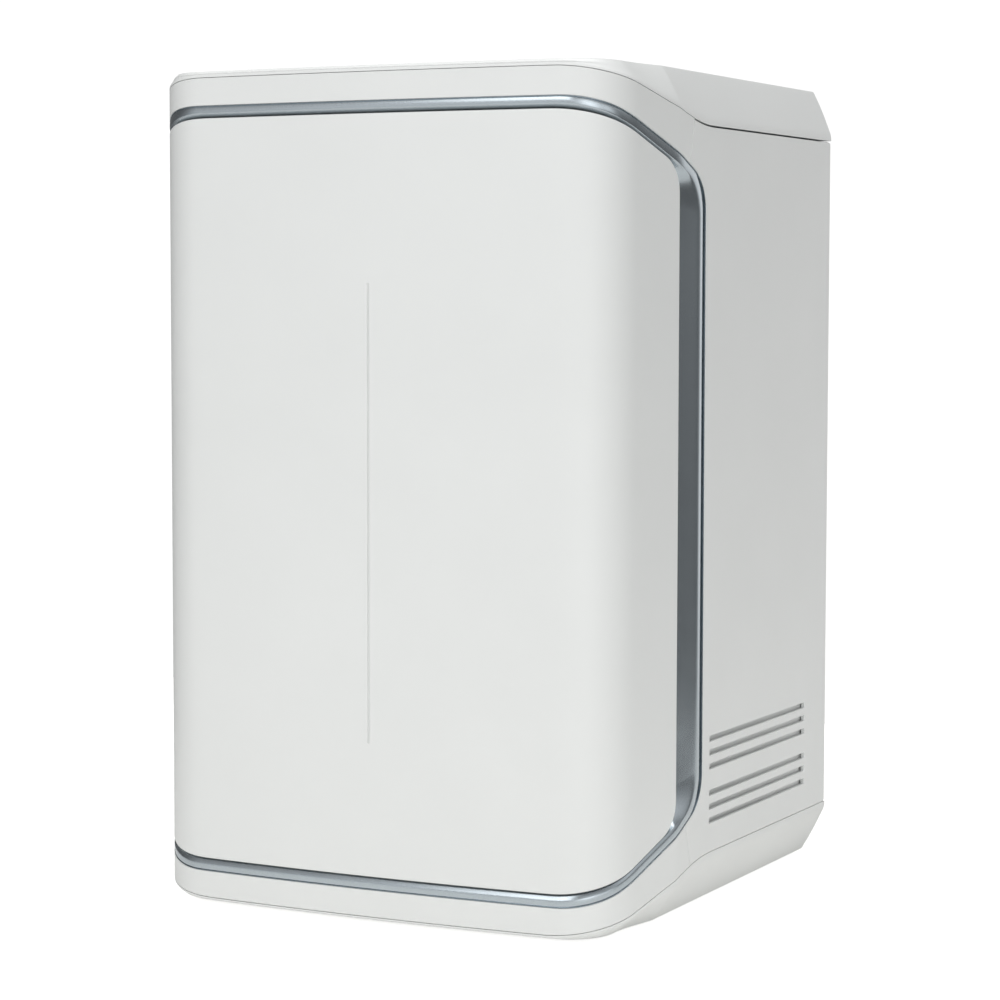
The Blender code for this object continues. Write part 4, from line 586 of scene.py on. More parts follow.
@dataclass(frozen=True)
class Ring:
    """An edge that runs round the front on the unrolled case: level runs, slants and uprights."""

    half: float
    low: float
    high: float
    run_low: float
    run_high: float
    rise: float
    drop: float
    bend_radius: float
    end_radius: float
    run_steps: int = 60
    bend_steps: int = 20
    slant_steps: int = 14
    end_steps: int = 14
    upright_steps: int = 12

    def grown(self, distance: float) -> "Ring":
        """The ring moved out all round by a distance, or in by a negative one."""
        return replace(
            self, half=self.half + distance, low=self.low - distance, high=self.high + distance
        )

    def right_half(self) -> Loop:
        """Right half, from the lowest point of the middle line to the highest."""
        low, high = Vector((0, self.low)), Vector((0, self.high))
        corners = [
            (Vector((self.half - self.run_low, self.low)), self.bend_radius, self.bend_steps),
            (Vector((self.half, self.low + self.rise)), self.end_radius, self.end_steps),
            (Vector((self.half, self.high - self.drop)), self.end_radius, self.end_steps),
            (Vector((self.half - self.run_high, self.high)), self.bend_radius, self.bend_steps),
        ]
        places = [low, *(corner for corner, _, _ in corners), high]
        arcs = [
            rounded_corner(places[index], corner, places[index + 2], radius, steps)
            for index, (corner, radius, steps) in enumerate(corners)
        ]
        starts = [low, *(arc[-1] for arc in arcs)]
        ends = [*(arc[0] for arc in arcs), high]
        run, slant = self.run_steps, self.slant_steps
        counts = (run, slant, self.upright_steps, slant, run)
        points: Loop = []
        for start, end, steps, arc in zip(starts, ends, counts, [*arcs, [high]]):
            points += [start.lerp(end, step / steps) for step in range(steps)] + arc[:-1]
        return [*points, high]

    def outline(self) -> Loop:
        """The whole closed ring."""
        return mirrored(self.right_half())


def mirrored(points: Loop) -> Loop:
    """A closed outline from a right half that starts and ends on the middle line."""
    return points + [Vector((-x, y)) for x, y in reversed(points[1:-1])]


def cut_at(points: Loop, along: float, beyond: bool) -> Loop:
    """The part of a line inside, or beyond, a distance along the case.

    Args:
        points: Points of the line.
        along: Where to cut it.
        beyond: Whether to keep the far part.

    Returns:
        The kept points, with the end on the cut.
    """
    kept: Loop = []
    for start, end in pairwise(points):
        if (start.x > along) == beyond:
            kept.append(start)
        if (start.x > along) != (end.x > along):
            kept.append(start.lerp(end, (along - start.x) / (end.x - start.x)))
    if (points[-1].x > along) == beyond:
        kept.append(points[-1])
    return kept


@dataclass(frozen=True)
class CoverJoint:
    """Line where the top or bottom cover meets the panels, which swoops down, or up, the sides."""

    plan: CasePlan
    top: bool
    front_rise: float
    side_rise: float
    ramp_before_corner: float = 0.012
    ramp_past_corner: float = 0.163

    def share_at(self, along: float) -> float:
        """How far the line has swooped at a distance along, from 0 to 1."""
        start = self.plan.front_half - self.ramp_before_corner
        return eased((abs(along) - start) / (self.ramp_before_corner + self.ramp_past_corner))

    def height_at(self, along: float) -> float:
        """Height of the line at a distance along."""
        swooped = self.front_rise + self.side_rise * self.share_at(along)
        return self.plan.height - swooped if self.top else swooped


@dataclass(frozen=True)
class UpperJoint(CoverJoint):
    """Joint of the top cover, which turns down just before the corner."""

    top: bool = True
    front_rise: float = 0.0041
    side_rise: float = 0.0329
    ramp_before_corner: float = 0.006


@dataclass(frozen=True)
class LowerJoint(CoverJoint):
    """Joint of the bottom cover, low over the front and high at the back."""

    top: bool = False
    front_rise: float = 0.0029
    side_rise: float = 0.0354


# Mesh helpers


def moved_in(loop: Loop, distances: list[float]) -> Loop:
    """Moves each point of a closed loop to its left, by its own distance.

    Args:
        loop: Anticlockwise points of an outline, or clockwise points of a hole.
        distances: How far each point moves into the material.

    Returns:
        The moved points.
    """
    moved: Loop = []
    for index, (here, distance) in enumerate(zip(loop, distances)):
        ahead = (loop[(index + 1) % len(loop)] - here).normalized()
        back = (here - loop[index - 1]).normalized()
        left = Vector((-ahead.y - back.y, ahead.x + back.x)) / max(1 + ahead.dot(back), LEAST_MITRE)
        moved.append(here + left * distance)
    return moved


def wound(loop: Loop, anticlockwise: bool) -> Loop:
    """The loop, turned round where it runs the wrong way."""
    area = sum(here.cross(after) for here, after in zip(loop, loop[1:] + loop[:1]))
    return loop if (area > 0) == anticlockwise else loop[::-1]


def quarter_turns(steps: int) -> list[float]:
    """Angles of a quarter turn, cut into even steps, with both ends."""
    return [math.pi / 2 * step / steps for step in range(steps + 1)]


def full_turns(steps: int) -> list[float]:
    """Angles round a full circle, in even steps."""
    return [2 * math.pi * step / steps for step in range(steps)]


def placed(name: str, data: bpy.types.ID) -> bpy.types.Object:
    """A new object of the scene that holds a mesh, a lamp or a camera."""
    item = bpy.data.objects.new(name, data)
    bpy.context.scene.collection.objects.link(item)
    return item


def rolled_edge(radius: float, back: float, steps: int = EDGE_STEPS) -> Profile:
    """Section of a rounded edge.

    Args:
        radius: Radius of the edge.
        back: Depth at which the section starts.
        steps: Number of chords in the quarter round.

    Returns:
        Inset and depth of each point, from the back, round the edge, to just inside the flat face.
    """
    arc = [
        (radius * (1 - math.cos(turn)), radius * (1 - math.sin(turn))) for turn in quarter_turns(steps)
    ]
    return [(0.0, back), *arc, (radius * FACE_START_SHARE, 0.0)]


def skin(bm: bmesh.types.BMesh, lower: list, upper: list) -> None:
    """Joins two closed rings of vertices with quads.

    Args:
        bm: Mesh to build in.
        lower: Vertices of one ring.
        upper: Matching vertices of the other.
    """
    for index, (here, above) in enumerate(zip(lower, upper)):
        after = (index + 1) % len(lower)
        bm.faces.new((here, lower[after], upper[after], above))


def finished(bm: bmesh.types.BMesh, name: str) -> bpy.types.Object:
    """Turns a bmesh into a linked object with smooth faces and sharp corners.

    Args:
        bm: The mesh, which is freed.
        name: Name of the piece.

    Returns:
        The object.
    """
    bmesh.ops.remove_doubles(bm, verts=bm.verts, dist=TINY)
    if all(len(edge.link_faces) == 2 for edge in bm.edges):
        bmesh.ops.recalc_face_normals(bm, faces=bm.faces)
        if bm.calc_volume(signed=True) < 0:
            bmesh.ops.reverse_faces(bm, faces=bm.faces)
    mesh = bpy.data.meshes.new(name)
    bm.to_mesh(mesh)
    bm.free()
    mesh.shade_smooth()
    mesh.set_sharp_from_angle(angle=SHARP_ANGLE)
    return placed(name, mesh)


@dataclass
class WrappedSheet:
    """A sheet cut flat to an outline on the unrolled case, with rolled edges, and wrapped round it.

    Attributes:
        plan: The case.
        outline: Its edge.
        profiles: Section of the edge, one for all its points or one for each.
        holes: Outlines of its holes.
        hole_profile: Section of their edges.
        inset: Depth of its face under the case's skin.
    """

    plan: CasePlan
    outline: Loop
    profiles: list[Profile]
    holes: list[Loop] = field(default_factory=list)
    hole_profile: Profile = field(default_factory=list)
    inset: float = 0.0

    def rings(self, bm: bmesh.types.BMesh) -> tuple[list, list]:
        """Builds the edges as rings of vertices.

        Args:
            bm: Mesh to build in.

        Returns:
            The rings at the back and at the face, one of each for the outline and each hole.
        """
        backs, faces = [], []
        for number, source in enumerate([self.outline, *self.holes]):
            loop = wound(source, number == 0)
            if number:
                profiles = [self.hole_profile] * len(loop)
            elif len(self.profiles) == 1:
                profiles = self.profiles * len(loop)
            else:
                profiles = self.profiles if loop is source else self.profiles[::-1]
            made = []
            for step in range(len(profiles[0])):
                places = moved_in(loop, [profile[step][0] for profile in profiles])
                made.append([
                    bm.verts.new((place.x, place.y, profile[step][1]))
                    for place, profile in zip(places, profiles)
                ])
            for lower, upper in pairwise(made):
                skin(bm, lower, upper)
            backs.append(made[0])
            faces.append(made[-1])
        return backs, faces

    def build(self, name: str) -> bpy.types.Object:
        """Builds the sheet.

        Args:
            name: Name of the piece.

        Returns:
            The object, in place.
        """
        bm = bmesh.new()
        for rims in self.rings(bm):
            edges = [
                bm.edges.get((here, after))
                for rim in rims for here, after in zip(rim, rim[1:] + rim[:1])
            ]
            bmesh.ops.triangle_fill(bm, edges=edges, use_beauty=True)
        for bend in self.plan.bends[:-1]:
            for place in {bend, -bend}:
                everything = bm.verts[:] + bm.edges[:] + bm.faces[:]
                bmesh.ops.bisect_plane(
                    bm, geom=everything, plane_co=(place, 0, 0), plane_no=(1, 0, 0), dist=TINY
                )
        for vertex in bm.verts:
            along, up, depth = vertex.co
            vertex.co = self.plan.point(along, self.inset + depth, up)
        return finished(bm, name)


def loft(rows: list[Loop], capped: bool) -> bmesh.types.BMesh:
    """A surface between closed rows of matching points.

    Args:
        rows: The rows, each with as many points.
        capped: Whether the first and last rows are filled.

    Returns:
        The mesh.
    """
    bm = bmesh.new()
    rings = [[bm.verts.new(point) for point in row] for row in rows]
    for lower, upper in pairwise(rings):
        skin(bm, lower, upper)
    if capped:
        bm.faces.new(rings[0][::-1])
        bm.faces.new(rings[-1])
    return bm


def turned(profile: Profile, centre: Vector, steps: int = ROUND_STEPS) -> bmesh.types.BMesh:
    """A turned solid on an upright axis.

    Args:
        profile: Radius and height of each point, from the bottom of the axis to its top.
        centre: Place of the axis's foot.
        steps: Number of segments round it.

    Returns:
        The mesh, with both ends closed by a flat cap.
    """
    rows = [
        [
            centre + Vector((radius * math.cos(turn), radius * math.sin(turn), height))
            for turn in full_turns(steps)
        ]
        for radius, height in profile
    ]
    return loft(rows, True)


@dataclass(frozen=True)
class Seat:
    """Where a piece belongs: its body, its material slot and the CAD nodes that it stands for."""

    body: str
    slot: str
    stands_for: tuple[str, ...] = ()


def settle(item: bpy.types.Object, finish: Finish, seat: Seat) -> None:
    """Gives a piece its finish and its body, and reports it.

    Args:
        item: The piece, in place.
        finish: Its finish.
        seat: Where it belongs.
    """
    item.data.materials.clear()
    item.data.materials.append(finish.material)
    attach(item, seat.body)
    if seat.stands_for:
        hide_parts(*seat.stands_for)
    LOG.info("%s on %s, %d faces", item.name, seat.body, len(item.data.polygons))


class Hand(Enum):
    """Side of the case, seen from the front."""

    RIGHT = "right"
    LEFT = "left"

    @property
    def sign(self) -> int:
        """Direction along the case: 1 to the right, -1 to the left."""
        return 1 if self is Hand.RIGHT else -1


# Sub-assemblies


@dataclass
class FrontRings:
    """The three edges round the front: the door's, the trim's crease and the trim's outer one."""

    plan: CasePlan
    door_edge_depth: float = 0.0873
    trim_edge_depth: float = 0.131
    crease_width: float = 0.033
    crease_low: float = 0.0266
    crease_rise: float = 0.0035
    crease_run: float = 0.036
    crease_fall: float = 0.0155
    door_low: float = 0.0303
    door_below_top: float = 0.0316
    trim_low: float = 0.0215
    trim_below_top: float = 0.0233
    narrow_width: float = 0.115
    door_run: tuple[float, float] = (0.082, 0.084)
    door_rise: float = 0.0368
    door_drop: float = 0.0352
    door_bend: float = 0.145
    door_end: float = 0.026
    trim_run: tuple[float, float] = (0.1275, 0.1272)
    trim_rise: float = 0.0554
    trim_drop: float = 0.0521
    trim_bend: float = 0.12
    trim_end: float = 0.030

    @cached_property
    def door(self) -> Ring:
        """The door's edge."""
        return Ring(
            half=self.plan.along_at(self.door_edge_depth), low=self.door_low,
            high=self.plan.height - self.door_below_top, run_low=self.door_run[0],
            run_high=self.door_run[1], rise=self.door_rise, drop=self.door_drop,
            bend_radius=self.door_bend, end_radius=self.door_end,
        )

    @cached_property
    def crease(self) -> Ring:
        """The trim's crease, between its hollowed recess and its bead."""
        door = self.door
        return replace(
            door, half=door.half + self.crease_width, low=self.crease_low,
            high=door.high + self.crease_rise, run_low=door.run_low + self.crease_run,
            run_high=door.run_high + self.crease_run, rise=door.rise + self.crease_fall,
            drop=door.drop + self.crease_fall, bend_radius=self.trim_bend, end_radius=self.trim_end,
        )

    @cached_property
    def trim(self) -> Ring:
        """The trim's outer edge."""
        return Ring(
            half=self.plan.along_at(self.trim_edge_depth), low=self.trim_low,
            high=self.plan.height - self.trim_below_top, run_low=self.trim_run[0],
            run_high=self.trim_run[1], rise=self.trim_rise, drop=self.trim_drop,
            bend_radius=self.trim_bend, end_radius=self.trim_end,
        )

    @cached_property
    def outlines(self) -> tuple[Loop, Loop, Loop]:
        """Matching points of the three edges, all the way round."""
        return self.door.outline(), self.crease.outline(), self.trim.outline()

    @cached_property
    def widths(self) -> list[float]:
        """Width square across the recess at each point, as a share of its width on the uprights."""
        door, crease, _ = self.outlines
        shares = []
        for index, (start, end) in enumerate(zip(door, crease)):
            after = (index + 1) % len(door)
            ahead = door[after] - door[index - 1] + crease[after] - crease[index - 1]
            shares.append(abs((end - start).cross(ahead.normalized())) / self.crease_width)
        return shares

    def row(self, share: float, wide: float, high: float, low: float) -> Loop:
        """A row of the trim's section, all the way round.

        Args:
            share: 0 on the door's edge, 1 on the crease and 2 on the outer edge.
            wide: Depth under the case's skin where the trim is at its widest, on the uprights.
            high: Depth where it is narrow, along the top.
            low: Depth along the bottom.

        Returns:
            Points in the row frame.
        """
        points: Loop = []
        for door, crease, edge, width in zip(*self.outlines, self.widths):
            place = door.lerp(crease, share) if share < 1 else crease.lerp(edge, share - 1)
            wideness = (width - self.narrow_width) / (1 - self.narrow_width)
            narrow = high if place.y > self.plan.height / 2 else low
            inset = mix(narrow, wide, min(max(wideness, 0.0), 1.0))
            points.append(self.plan.point(place.x, inset, place.y))
        return points


@dataclass
class Trim:
    """Painted trim round the door: a hollowed recess for the fingers, a round bead, a groove, a lip.

    Each row of its section gives its share of the way over the trim and, in millimetres, its
    depth on the wide uprights, along the narrow top and along the narrow bottom.
    """

    rings: FrontRings
    thickness: float = 0.0010
    section: tuple[tuple[float, float, float, float], ...] = (
        # Behind the door's edge, and the floor of the gap beside it
        (0.0, 17.0, 17.0, 17.0), (0.0, 14.6, 14.6, 14.6), (0.03, 14.0, 10.0, 9.0),
        (0.18, 12.3, 6.0, 4.5), (0.33, 10.0, 3.0, 1.8),
        # Hollowed recess, which turns into a plain slope where the trim is narrow
        (0.38, 9.3, 2.2, 1.15), (0.50, 7.5, 1.75, 0.92), (0.62, 5.7, 1.33, 0.72),
        (0.74, 3.8, 0.93, 0.53), (0.84, 2.1, 0.60, 0.40),
        # Bead, round on the uprights and flat along the top and bottom
        (0.90, 1.05, 0.43, 0.33), (0.95, 0.42, 0.30, 0.26), (1.0, 0.12, 0.20, 0.19),
        (1.08, 0.03, 0.11, 0.11), (1.18, 0.0, 0.05, 0.05), (1.28, 0.03, 0.02, 0.02),
        (1.4, 0.14, 0.0, 0.0), (1.5, 0.32, 0.02, 0.02), (1.6, 0.62, 0.05, 0.05),
        (1.68, 1.0, 0.08, 0.08),
        # Groove, and the thin lip that closes it
        (1.70, 2.8, 0.1, 0.1), (1.80, 2.8, 0.2, 0.2), (1.83, 2.8, 1.8, 1.8), (1.93, 2.8, 1.8, 1.8),
        (1.945, 0.2, 0.2, 0.2), (1.965, 0.03, 0.03, 0.03), (2.0, 0.2, 0.2, 0.2),
        (2.0, 10.0, 10.0, 10.0),
    )
    hinge_levels: tuple[float, ...] = (0.110, 0.460)
    window_below: float = 0.001
    window_height: float = 0.0098
    window_front: float = 0.0853
    window_back: float = 0.104

    def cut_windows(self, bm: bmesh.types.BMesh) -> None:
        """Opens the recess on the left, where the hinge lugs pass through it.

        Args:
            bm: The trim's mesh.
        """
        plan = self.rings.plan
        front, back = plan.front + self.window_front, plan.front + self.window_back
        for level in self.hinge_levels:
            low = plan.rise + level - self.window_below
            high = low + self.window_height
            for place, normal in (
                ((0, 0, low), (0, 0, 1)), ((0, 0, high), (0, 0, 1)),
                ((0, front, 0), (0, 1, 0)), ((0, back, 0), (0, 1, 0)),
            ):
                left = [face for face in bm.faces if face.calc_center_median().x < -plan.front_half]
                near = {edge for face in left for edge in face.edges}
                points = {vertex for face in left for vertex in face.verts}
                bmesh.ops.bisect_plane(
                    bm, geom=[*points, *near, *left], plane_co=place, plane_no=normal, dist=TINY
                )
            inside = [
                face for face in bm.faces
                if (centre := face.calc_center_median()).x < 0
                and low < centre.z < high and front < centre.y < back
            ]
            bmesh.ops.delete(bm, geom=inside, context="FACES")

    def build(self) -> None:
        """Builds the trim and settles it."""
        rows = [
            self.rings.row(share, wide * MM, high * MM, low * MM)
            for share, wide, high, low in self.section
        ]
        bm = loft(rows, False)
        bm.normal_update()
        bm.faces.ensure_lookup_table()
        if bm.faces[-1].normal.z > 0:
            bmesh.ops.reverse_faces(bm, faces=bm.faces)
        self.cut_windows(bm)
        trim = finished(bm, "trim")
        wall = trim.modifiers.new("wall", "SOLIDIFY")
        wall.thickness = self.thickness
        wall.offset = -1
        settle(trim, SILVER_PAINT, Seat("case", "silver_paint", ("trim_ring",)))


@dataclass
class Door:
    """Front door: a wrapped skin with a rolled rim, its liner, and a light guide in a soft groove."""

    rings: FrontRings
    wall: float = 0.0025
    rim: float = 0.009
    edge: float = 0.0012
    liner_inset: float = 0.0062
    clearance: float = 0.0004
    guide_low: float = 0.1206
    guide_below_top: float = 0.143
    groove_edge: float = 0.00045
    guide_width: float = 0.0013
    guide_depth: float = 0.004
    guide_sunk: float = 0.00025
    guide_play: float = 0.00003
    guide_edge: float = 0.0002
    rim_nick: float = 0.0004
    liner_edge: float = 0.0008
    end_steps: int = 8
    groove_steps: int = 5
    guide_edge_steps: int = 3

    def slit(self, half_width: float) -> Loop:
        """A round-ended slit up the middle of the door.

        Args:
            half_width: Half its width, which also rounds its ends.

        Returns:
            The slit's outline.
        """
        high = self.rings.plan.height - self.guide_below_top - half_width
        low = self.guide_low + half_width
        points: Loop = []
        for middle, first in ((high, 0.0), (low, math.pi)):
            for step in range(self.end_steps + 1):
                turn = first + math.pi * step / self.end_steps
                x, y = half_width * math.cos(turn), half_width * math.sin(turn)
                points.append(Vector((x, middle + y)))
        return points

    def build_skin(self) -> None:
        """Builds the skin, with its rim turned in and nicked off at the back."""
        edge = rolled_edge(self.edge, self.rim - self.rim_nick)
        profile = [(self.wall, self.wall), (self.wall, self.rim), (self.rim_nick, self.rim), *edge]
        sheet = WrappedSheet(
            self.rings.plan, self.rings.door.outline(), [profile], [self.slit(self.guide_width / 2)],
            rolled_edge(self.groove_edge, self.wall, self.groove_steps),
        )
        settle(sheet.build("door_shell"), WHITE_ABS, Seat("door", "moulded_white", ("door_skin",)))

    def build_liner(self) -> None:
        """Builds the liner that closes the door's back, with its round edge at the back."""
        ring = self.rings.door.grown(-self.wall - self.clearance)
        edge = [(inset, self.wall - depth) for inset, depth in rolled_edge(self.liner_edge, self.wall)]
        sheet = WrappedSheet(self.rings.plan, ring.outline(), [edge], inset=self.liner_inset)
        settle(sheet.build("door_lining"), GREY_ABS, Seat("door", "moulded_grey", ("door_liner",)))

    def build_guide(self) -> None:
        """Builds the light guide, a little sunk in its groove."""
        edge = rolled_edge(self.guide_edge, self.guide_depth - self.guide_sunk, self.guide_edge_steps)
        sheet = WrappedSheet(
            self.rings.plan, self.slit(self.guide_width / 2 - self.guide_play), [edge],
            inset=self.guide_sunk,
        )
        seat = Seat("door", "light_guide", ("light_guide",))
        settle(sheet.build("light_strip"), FROSTED_ACRYLIC, seat)

    def build(self) -> None:
        """Builds the door's pieces."""
        self.build_skin()
        self.build_liner()
        self.build_guide()


@dataclass
class Cover:
    """Top or bottom cover: a lip, a soft bend, a slanted flank and a flat face, as one hollow shell.

    The face's edge draws in from its front inset to its side inset, between a place before the
    round corner and one past it. The lip share is how much of the lip stays straight, and the
    bend and crest shares are the most of the flank that its two bends may take.
    """

    joint: CoverJoint
    name: str
    front_inset: float
    side_inset: float
    edge_before_corner: float
    edge_past_corner: float
    wall: float = 0.0025
    front_lip: float = 0.0010
    side_lip: float = 0.0045
    bulge: float = 0.0005
    soft_bend: float = 0.006
    crest: float = 0.0015
    lip_share: float = 0.35
    bend_share: float = 0.35
    crest_share: float = 0.3
    bend_steps: int = 5
    flank_steps: int = 4
    ramp_steps: int = 36
    place_digits: int = 5

    def places(self) -> list[float]:
        """Distances along the case of the cover's columns, from the left end to the right."""
        plan = self.joint.plan
        start = plan.front_half - self.joint.ramp_before_corner
        length = self.joint.ramp_before_corner + self.joint.ramp_past_corner
        ramp = [start + length * step / self.ramp_steps for step in range(self.ramp_steps + 1)]
        right = sorted({round(place, self.place_digits) for place in [*plan.bends, *ramp]})
        return [-place for place in reversed(right)] + right[1:]

    def column(self, along: float, shrink: float) -> Profile:
        """Section of the cover at one place.

        Args:
            along: Distance along the case.
            shrink: How far the section lies inside the outer one.

        Returns:
            Inset and height of each point, from the joint to the flat face.
        """
        plan, side = self.joint.plan, (1 if self.joint.top else -1)
        share = self.joint.share_at(along)
        before = plan.front_half - self.edge_before_corner
        edge = eased((abs(along) - before) / (self.edge_before_corner + self.edge_past_corner))
        inset = mix(self.front_inset, self.side_inset, edge)
        start = self.joint.height_at(along)
        face = (plan.height if self.joint.top else 0.0) - side * shrink
        foot = Vector((shrink, start))
        bend = Vector((shrink, start + side * mix(self.front_lip, self.side_lip, share)))
        crest = Vector((inset + shrink, face))
        slope = crest - bend
        reach = min(self.soft_bend, slope.length * self.bend_share)
        low = foot.lerp(bend, self.lip_share)
        high = bend + slope.normalized() * reach
        points = [foot, *self.bent(low, bend, high)]
        top = crest - slope.normalized() * min(self.crest, slope.length * self.crest_share)
        for step in range(1, self.flank_steps):
            part = step / self.flank_steps
            # The flank bulges out as a parabola, whose formula peaks at 1 halfway up
            points.append(high.lerp(top, part) - Vector((self.bulge * 4 * part * (1 - part), 0)))
        inward = crest + Vector((self.crest, 0))
        points += self.bent(top, crest, inward)
        points.append(inward + Vector((self.crest, 0)))
        return [(point.x, point.y) for point in points]

    def bent(self, start: Vector, corner: Vector, end: Vector) -> Loop:
        """Points of a soft bend that starts and ends along the two runs."""
        parts = [step / self.bend_steps for step in range(self.bend_steps + 1)]
        return [start.lerp(corner, part).lerp(corner.lerp(end, part), part) for part in parts]

    def rows(self, shrink: float) -> list[Loop]:
        """Rows of the outer or the inner surface, cut off flat at the back.

        Args:
            shrink: How far the surface lies inside the outer one.

        Returns:
            The rows, from the joint to the flat face.
        """
        plan = self.joint.plan
        columns = [
            [plan.point(along, inset, up) for inset, up in self.column(along, shrink)]
            for along in self.places()
        ]
        for column in columns:
            for point in column:
                point.y = min(point.y, plan.front + plan.depth - shrink)
        return [list(row) for row in zip(*columns)]

    def build(self) -> None:
        """Builds the cover and settles it."""
        bm = loft([*reversed(self.rows(self.wall)), *self.rows(0.0)], True)
        shell = finished(bm, f"{self.name}_shell")
        settle(shell, WHITE_ABS, Seat("case", "moulded_white", (self.name,)))


@dataclass
class TopCover(Cover):
    """Top cover, whose face reaches almost to the front."""

    name: str = "top_cover"
    front_inset: float = 0.0014
    side_inset: float = 0.0145
    edge_before_corner: float = 0.0
    edge_past_corner: float = 0.085


@dataclass
class BottomCover(Cover):
    """Bottom cover, with a wider slant all round."""

    name: str = "bottom_cover"
    front_inset: float = 0.0043
    side_inset: float = 0.0183
    edge_before_corner: float = 0.009
    edge_past_corner: float = 0.078


@dataclass
class Panels:
    """Front fascias and side panels, wrapped round the case, with vent slots over pressed louvres."""

    rings: FrontRings
    upper: CoverJoint
    lower: CoverJoint
    wall: float = 0.0025
    edge: float = 0.0005
    rear_edge: float = 0.0022
    seam: float = 0.0003
    trim_seam: float = 0.0002
    shadow_gap: float = 0.0012
    seam_depth_at_trim: float = 0.1025
    seam_depth_at_cover: float = 0.1105
    slot_front: float = 0.1435
    slot_back_margin: float = 0.045
    slot_lowest: float = 0.0583
    slot_height: float = 0.0041
    slot_pitch: float = 0.0096
    group_pitch: float = 0.0374
    slot_groups: int = 2
    slots_per_group: int = 3
    slot_edge: float = 0.0002
    fascia_edge_steps: int = 3
    line_steps: int = 60
    louvre_deep: float = 0.0022
    louvre_shallow: float = 0.0012
    louvre_margin: float = 0.0018
    louvre_overrun: float = 0.010
    louvre_sheet: float = 0.0008

    def line(self, joint: CoverJoint, start: float, end: float, gap: float) -> Loop:
        """A panel's edge along a cover's joint.

        Args:
            joint: The joint.
            start: Distance along the case where the edge starts.
            end: Where it ends.
            gap: How far it stays off the joint.

        Returns:
            Points on the unrolled case.
        """
        side = -gap if joint.top else gap
        places = [mix(start, end, step / self.line_steps) for step in range(self.line_steps + 1)]
        return [Vector((along, joint.height_at(along) + side)) for along in places]

    def build_fascia(self, name: str, joint: CoverJoint) -> None:
        """Builds the strip between the trim and a cover, across the front.

        Args:
            name: Name of the CAD node that it stands for.
            joint: The cover's joint.
        """
        plan, ring = self.rings.plan, self.rings.trim.grown(self.trim_seam).right_half()
        near = plan.along_at(self.seam_depth_at_trim)
        far = plan.along_at(self.seam_depth_at_cover)
        half = len(ring) // 2
        inner = cut_at(ring[half:][::-1] if joint.top else ring[:half], near, False)
        outline = mirrored(inner + self.line(joint, 0.0, far, self.seam)[::-1])
        edge = rolled_edge(self.edge, self.wall, self.fascia_edge_steps)
        sheet = WrappedSheet(plan, outline, [edge])
        settle(sheet.build(f"{name}_shell"), WHITE_ABS, Seat("case", "moulded_white", (name,)))

    def side_outline(self) -> Loop:
        """Right side panel on the unrolled case."""
        plan = self.rings.plan
        near = plan.along_at(self.seam_depth_at_trim) + self.seam
        far = plan.along_at(self.seam_depth_at_cover) + self.seam
        ring = cut_at(self.rings.trim.grown(self.trim_seam).right_half(), near, True)
        upper = self.line(self.upper, far, plan.half_girth, self.shadow_gap)
        lower = self.line(self.lower, far, plan.half_girth, self.seam)
        return ring + upper + lower[::-1]

    def slots(self) -> list[tuple[float, float, float, float]]:
        """Near and far distance along, and low and high edge, of each vent slot."""
        plan = self.rings.plan
        start = plan.along_at(self.slot_front)
        end = plan.along_at(plan.depth - self.slot_back_margin)
        lows = [
            self.slot_lowest + group * self.group_pitch + slot * self.slot_pitch
            for group in range(self.slot_groups) for slot in range(self.slots_per_group)
        ]
        return [(start, end, low, low + self.slot_height) for low in lows]

    def build_side(self, hand: Hand) -> None:
        """Builds a side panel with its slots and the louvres behind them.

        Args:
            hand: Which side.
        """
        plan = self.rings.plan
        outline = [Vector((hand.sign * point.x, point.y)) for point in self.side_outline()]
        rear = plan.half_girth - TINY
        profiles = [
            rolled_edge(self.rear_edge if abs(point.x) > rear else self.edge, self.wall)
            for point in outline
        ]
        holes = [
            [Vector((hand.sign * along, up)) for along, up in ((a, c), (b, c), (b, d), (a, d))]
            for a, b, c, d in self.slots()
        ]
        edge = self.slot_edge
        slot_profile = [(0.0, self.wall), (0.0, edge), (edge, 0.0), (2 * edge, 0.0)]
        name = f"{hand.value}_side_panel"
        panel = WrappedSheet(plan, outline, profiles, holes, slot_profile).build(f"{name}_shell")
        settle(panel, WHITE_ABS, Seat("case", "moulded_white", (name,)))
        self.build_louvres(hand)

    def build_louvres(self, hand: Hand) -> None:
        """Builds the sloped sheets behind the slots, deepest at their front ends.

        Args:
            hand: Which side.
        """
        plan, bm, margin = self.rings.plan, bmesh.new(), self.louvre_margin
        for start, end, low, high in self.slots():
            rows = []
            for along, inset in (
                (start - margin, self.louvre_deep), (end + self.louvre_overrun, self.louvre_shallow)
            ):
                behind = inset + self.louvre_sheet
                corners = (
                    (low - margin, inset), (high + margin, inset), (high + margin, behind),
                    (low - margin, behind),
                )
                rows.append([
                    bm.verts.new(plan.point(hand.sign * along, self.wall + depth, up))
                    for up, depth in corners
                ])
            skin(bm, rows[0], rows[1])
            bm.faces.new(rows[0][::-1])
            bm.faces.new(rows[1])
        settle(finished(bm, f"{hand.value}_louvres"), WHITE_ABS, Seat("case", "moulded_white"))

    def build(self) -> None:
        """Builds the fascias and the side panels."""
        self.build_fascia("upper_fascia", self.upper)
        self.build_fascia("lower_fascia", self.lower)
        for hand in Hand:
            self.build_side(hand)


class Stage(Enum):
    """The three treatment stages, which name the cartridges and their bodies."""

    PRETREATMENT = "pretreatment"
    OSMOSIS = "osmosis"
    POLISHING = "polishing"


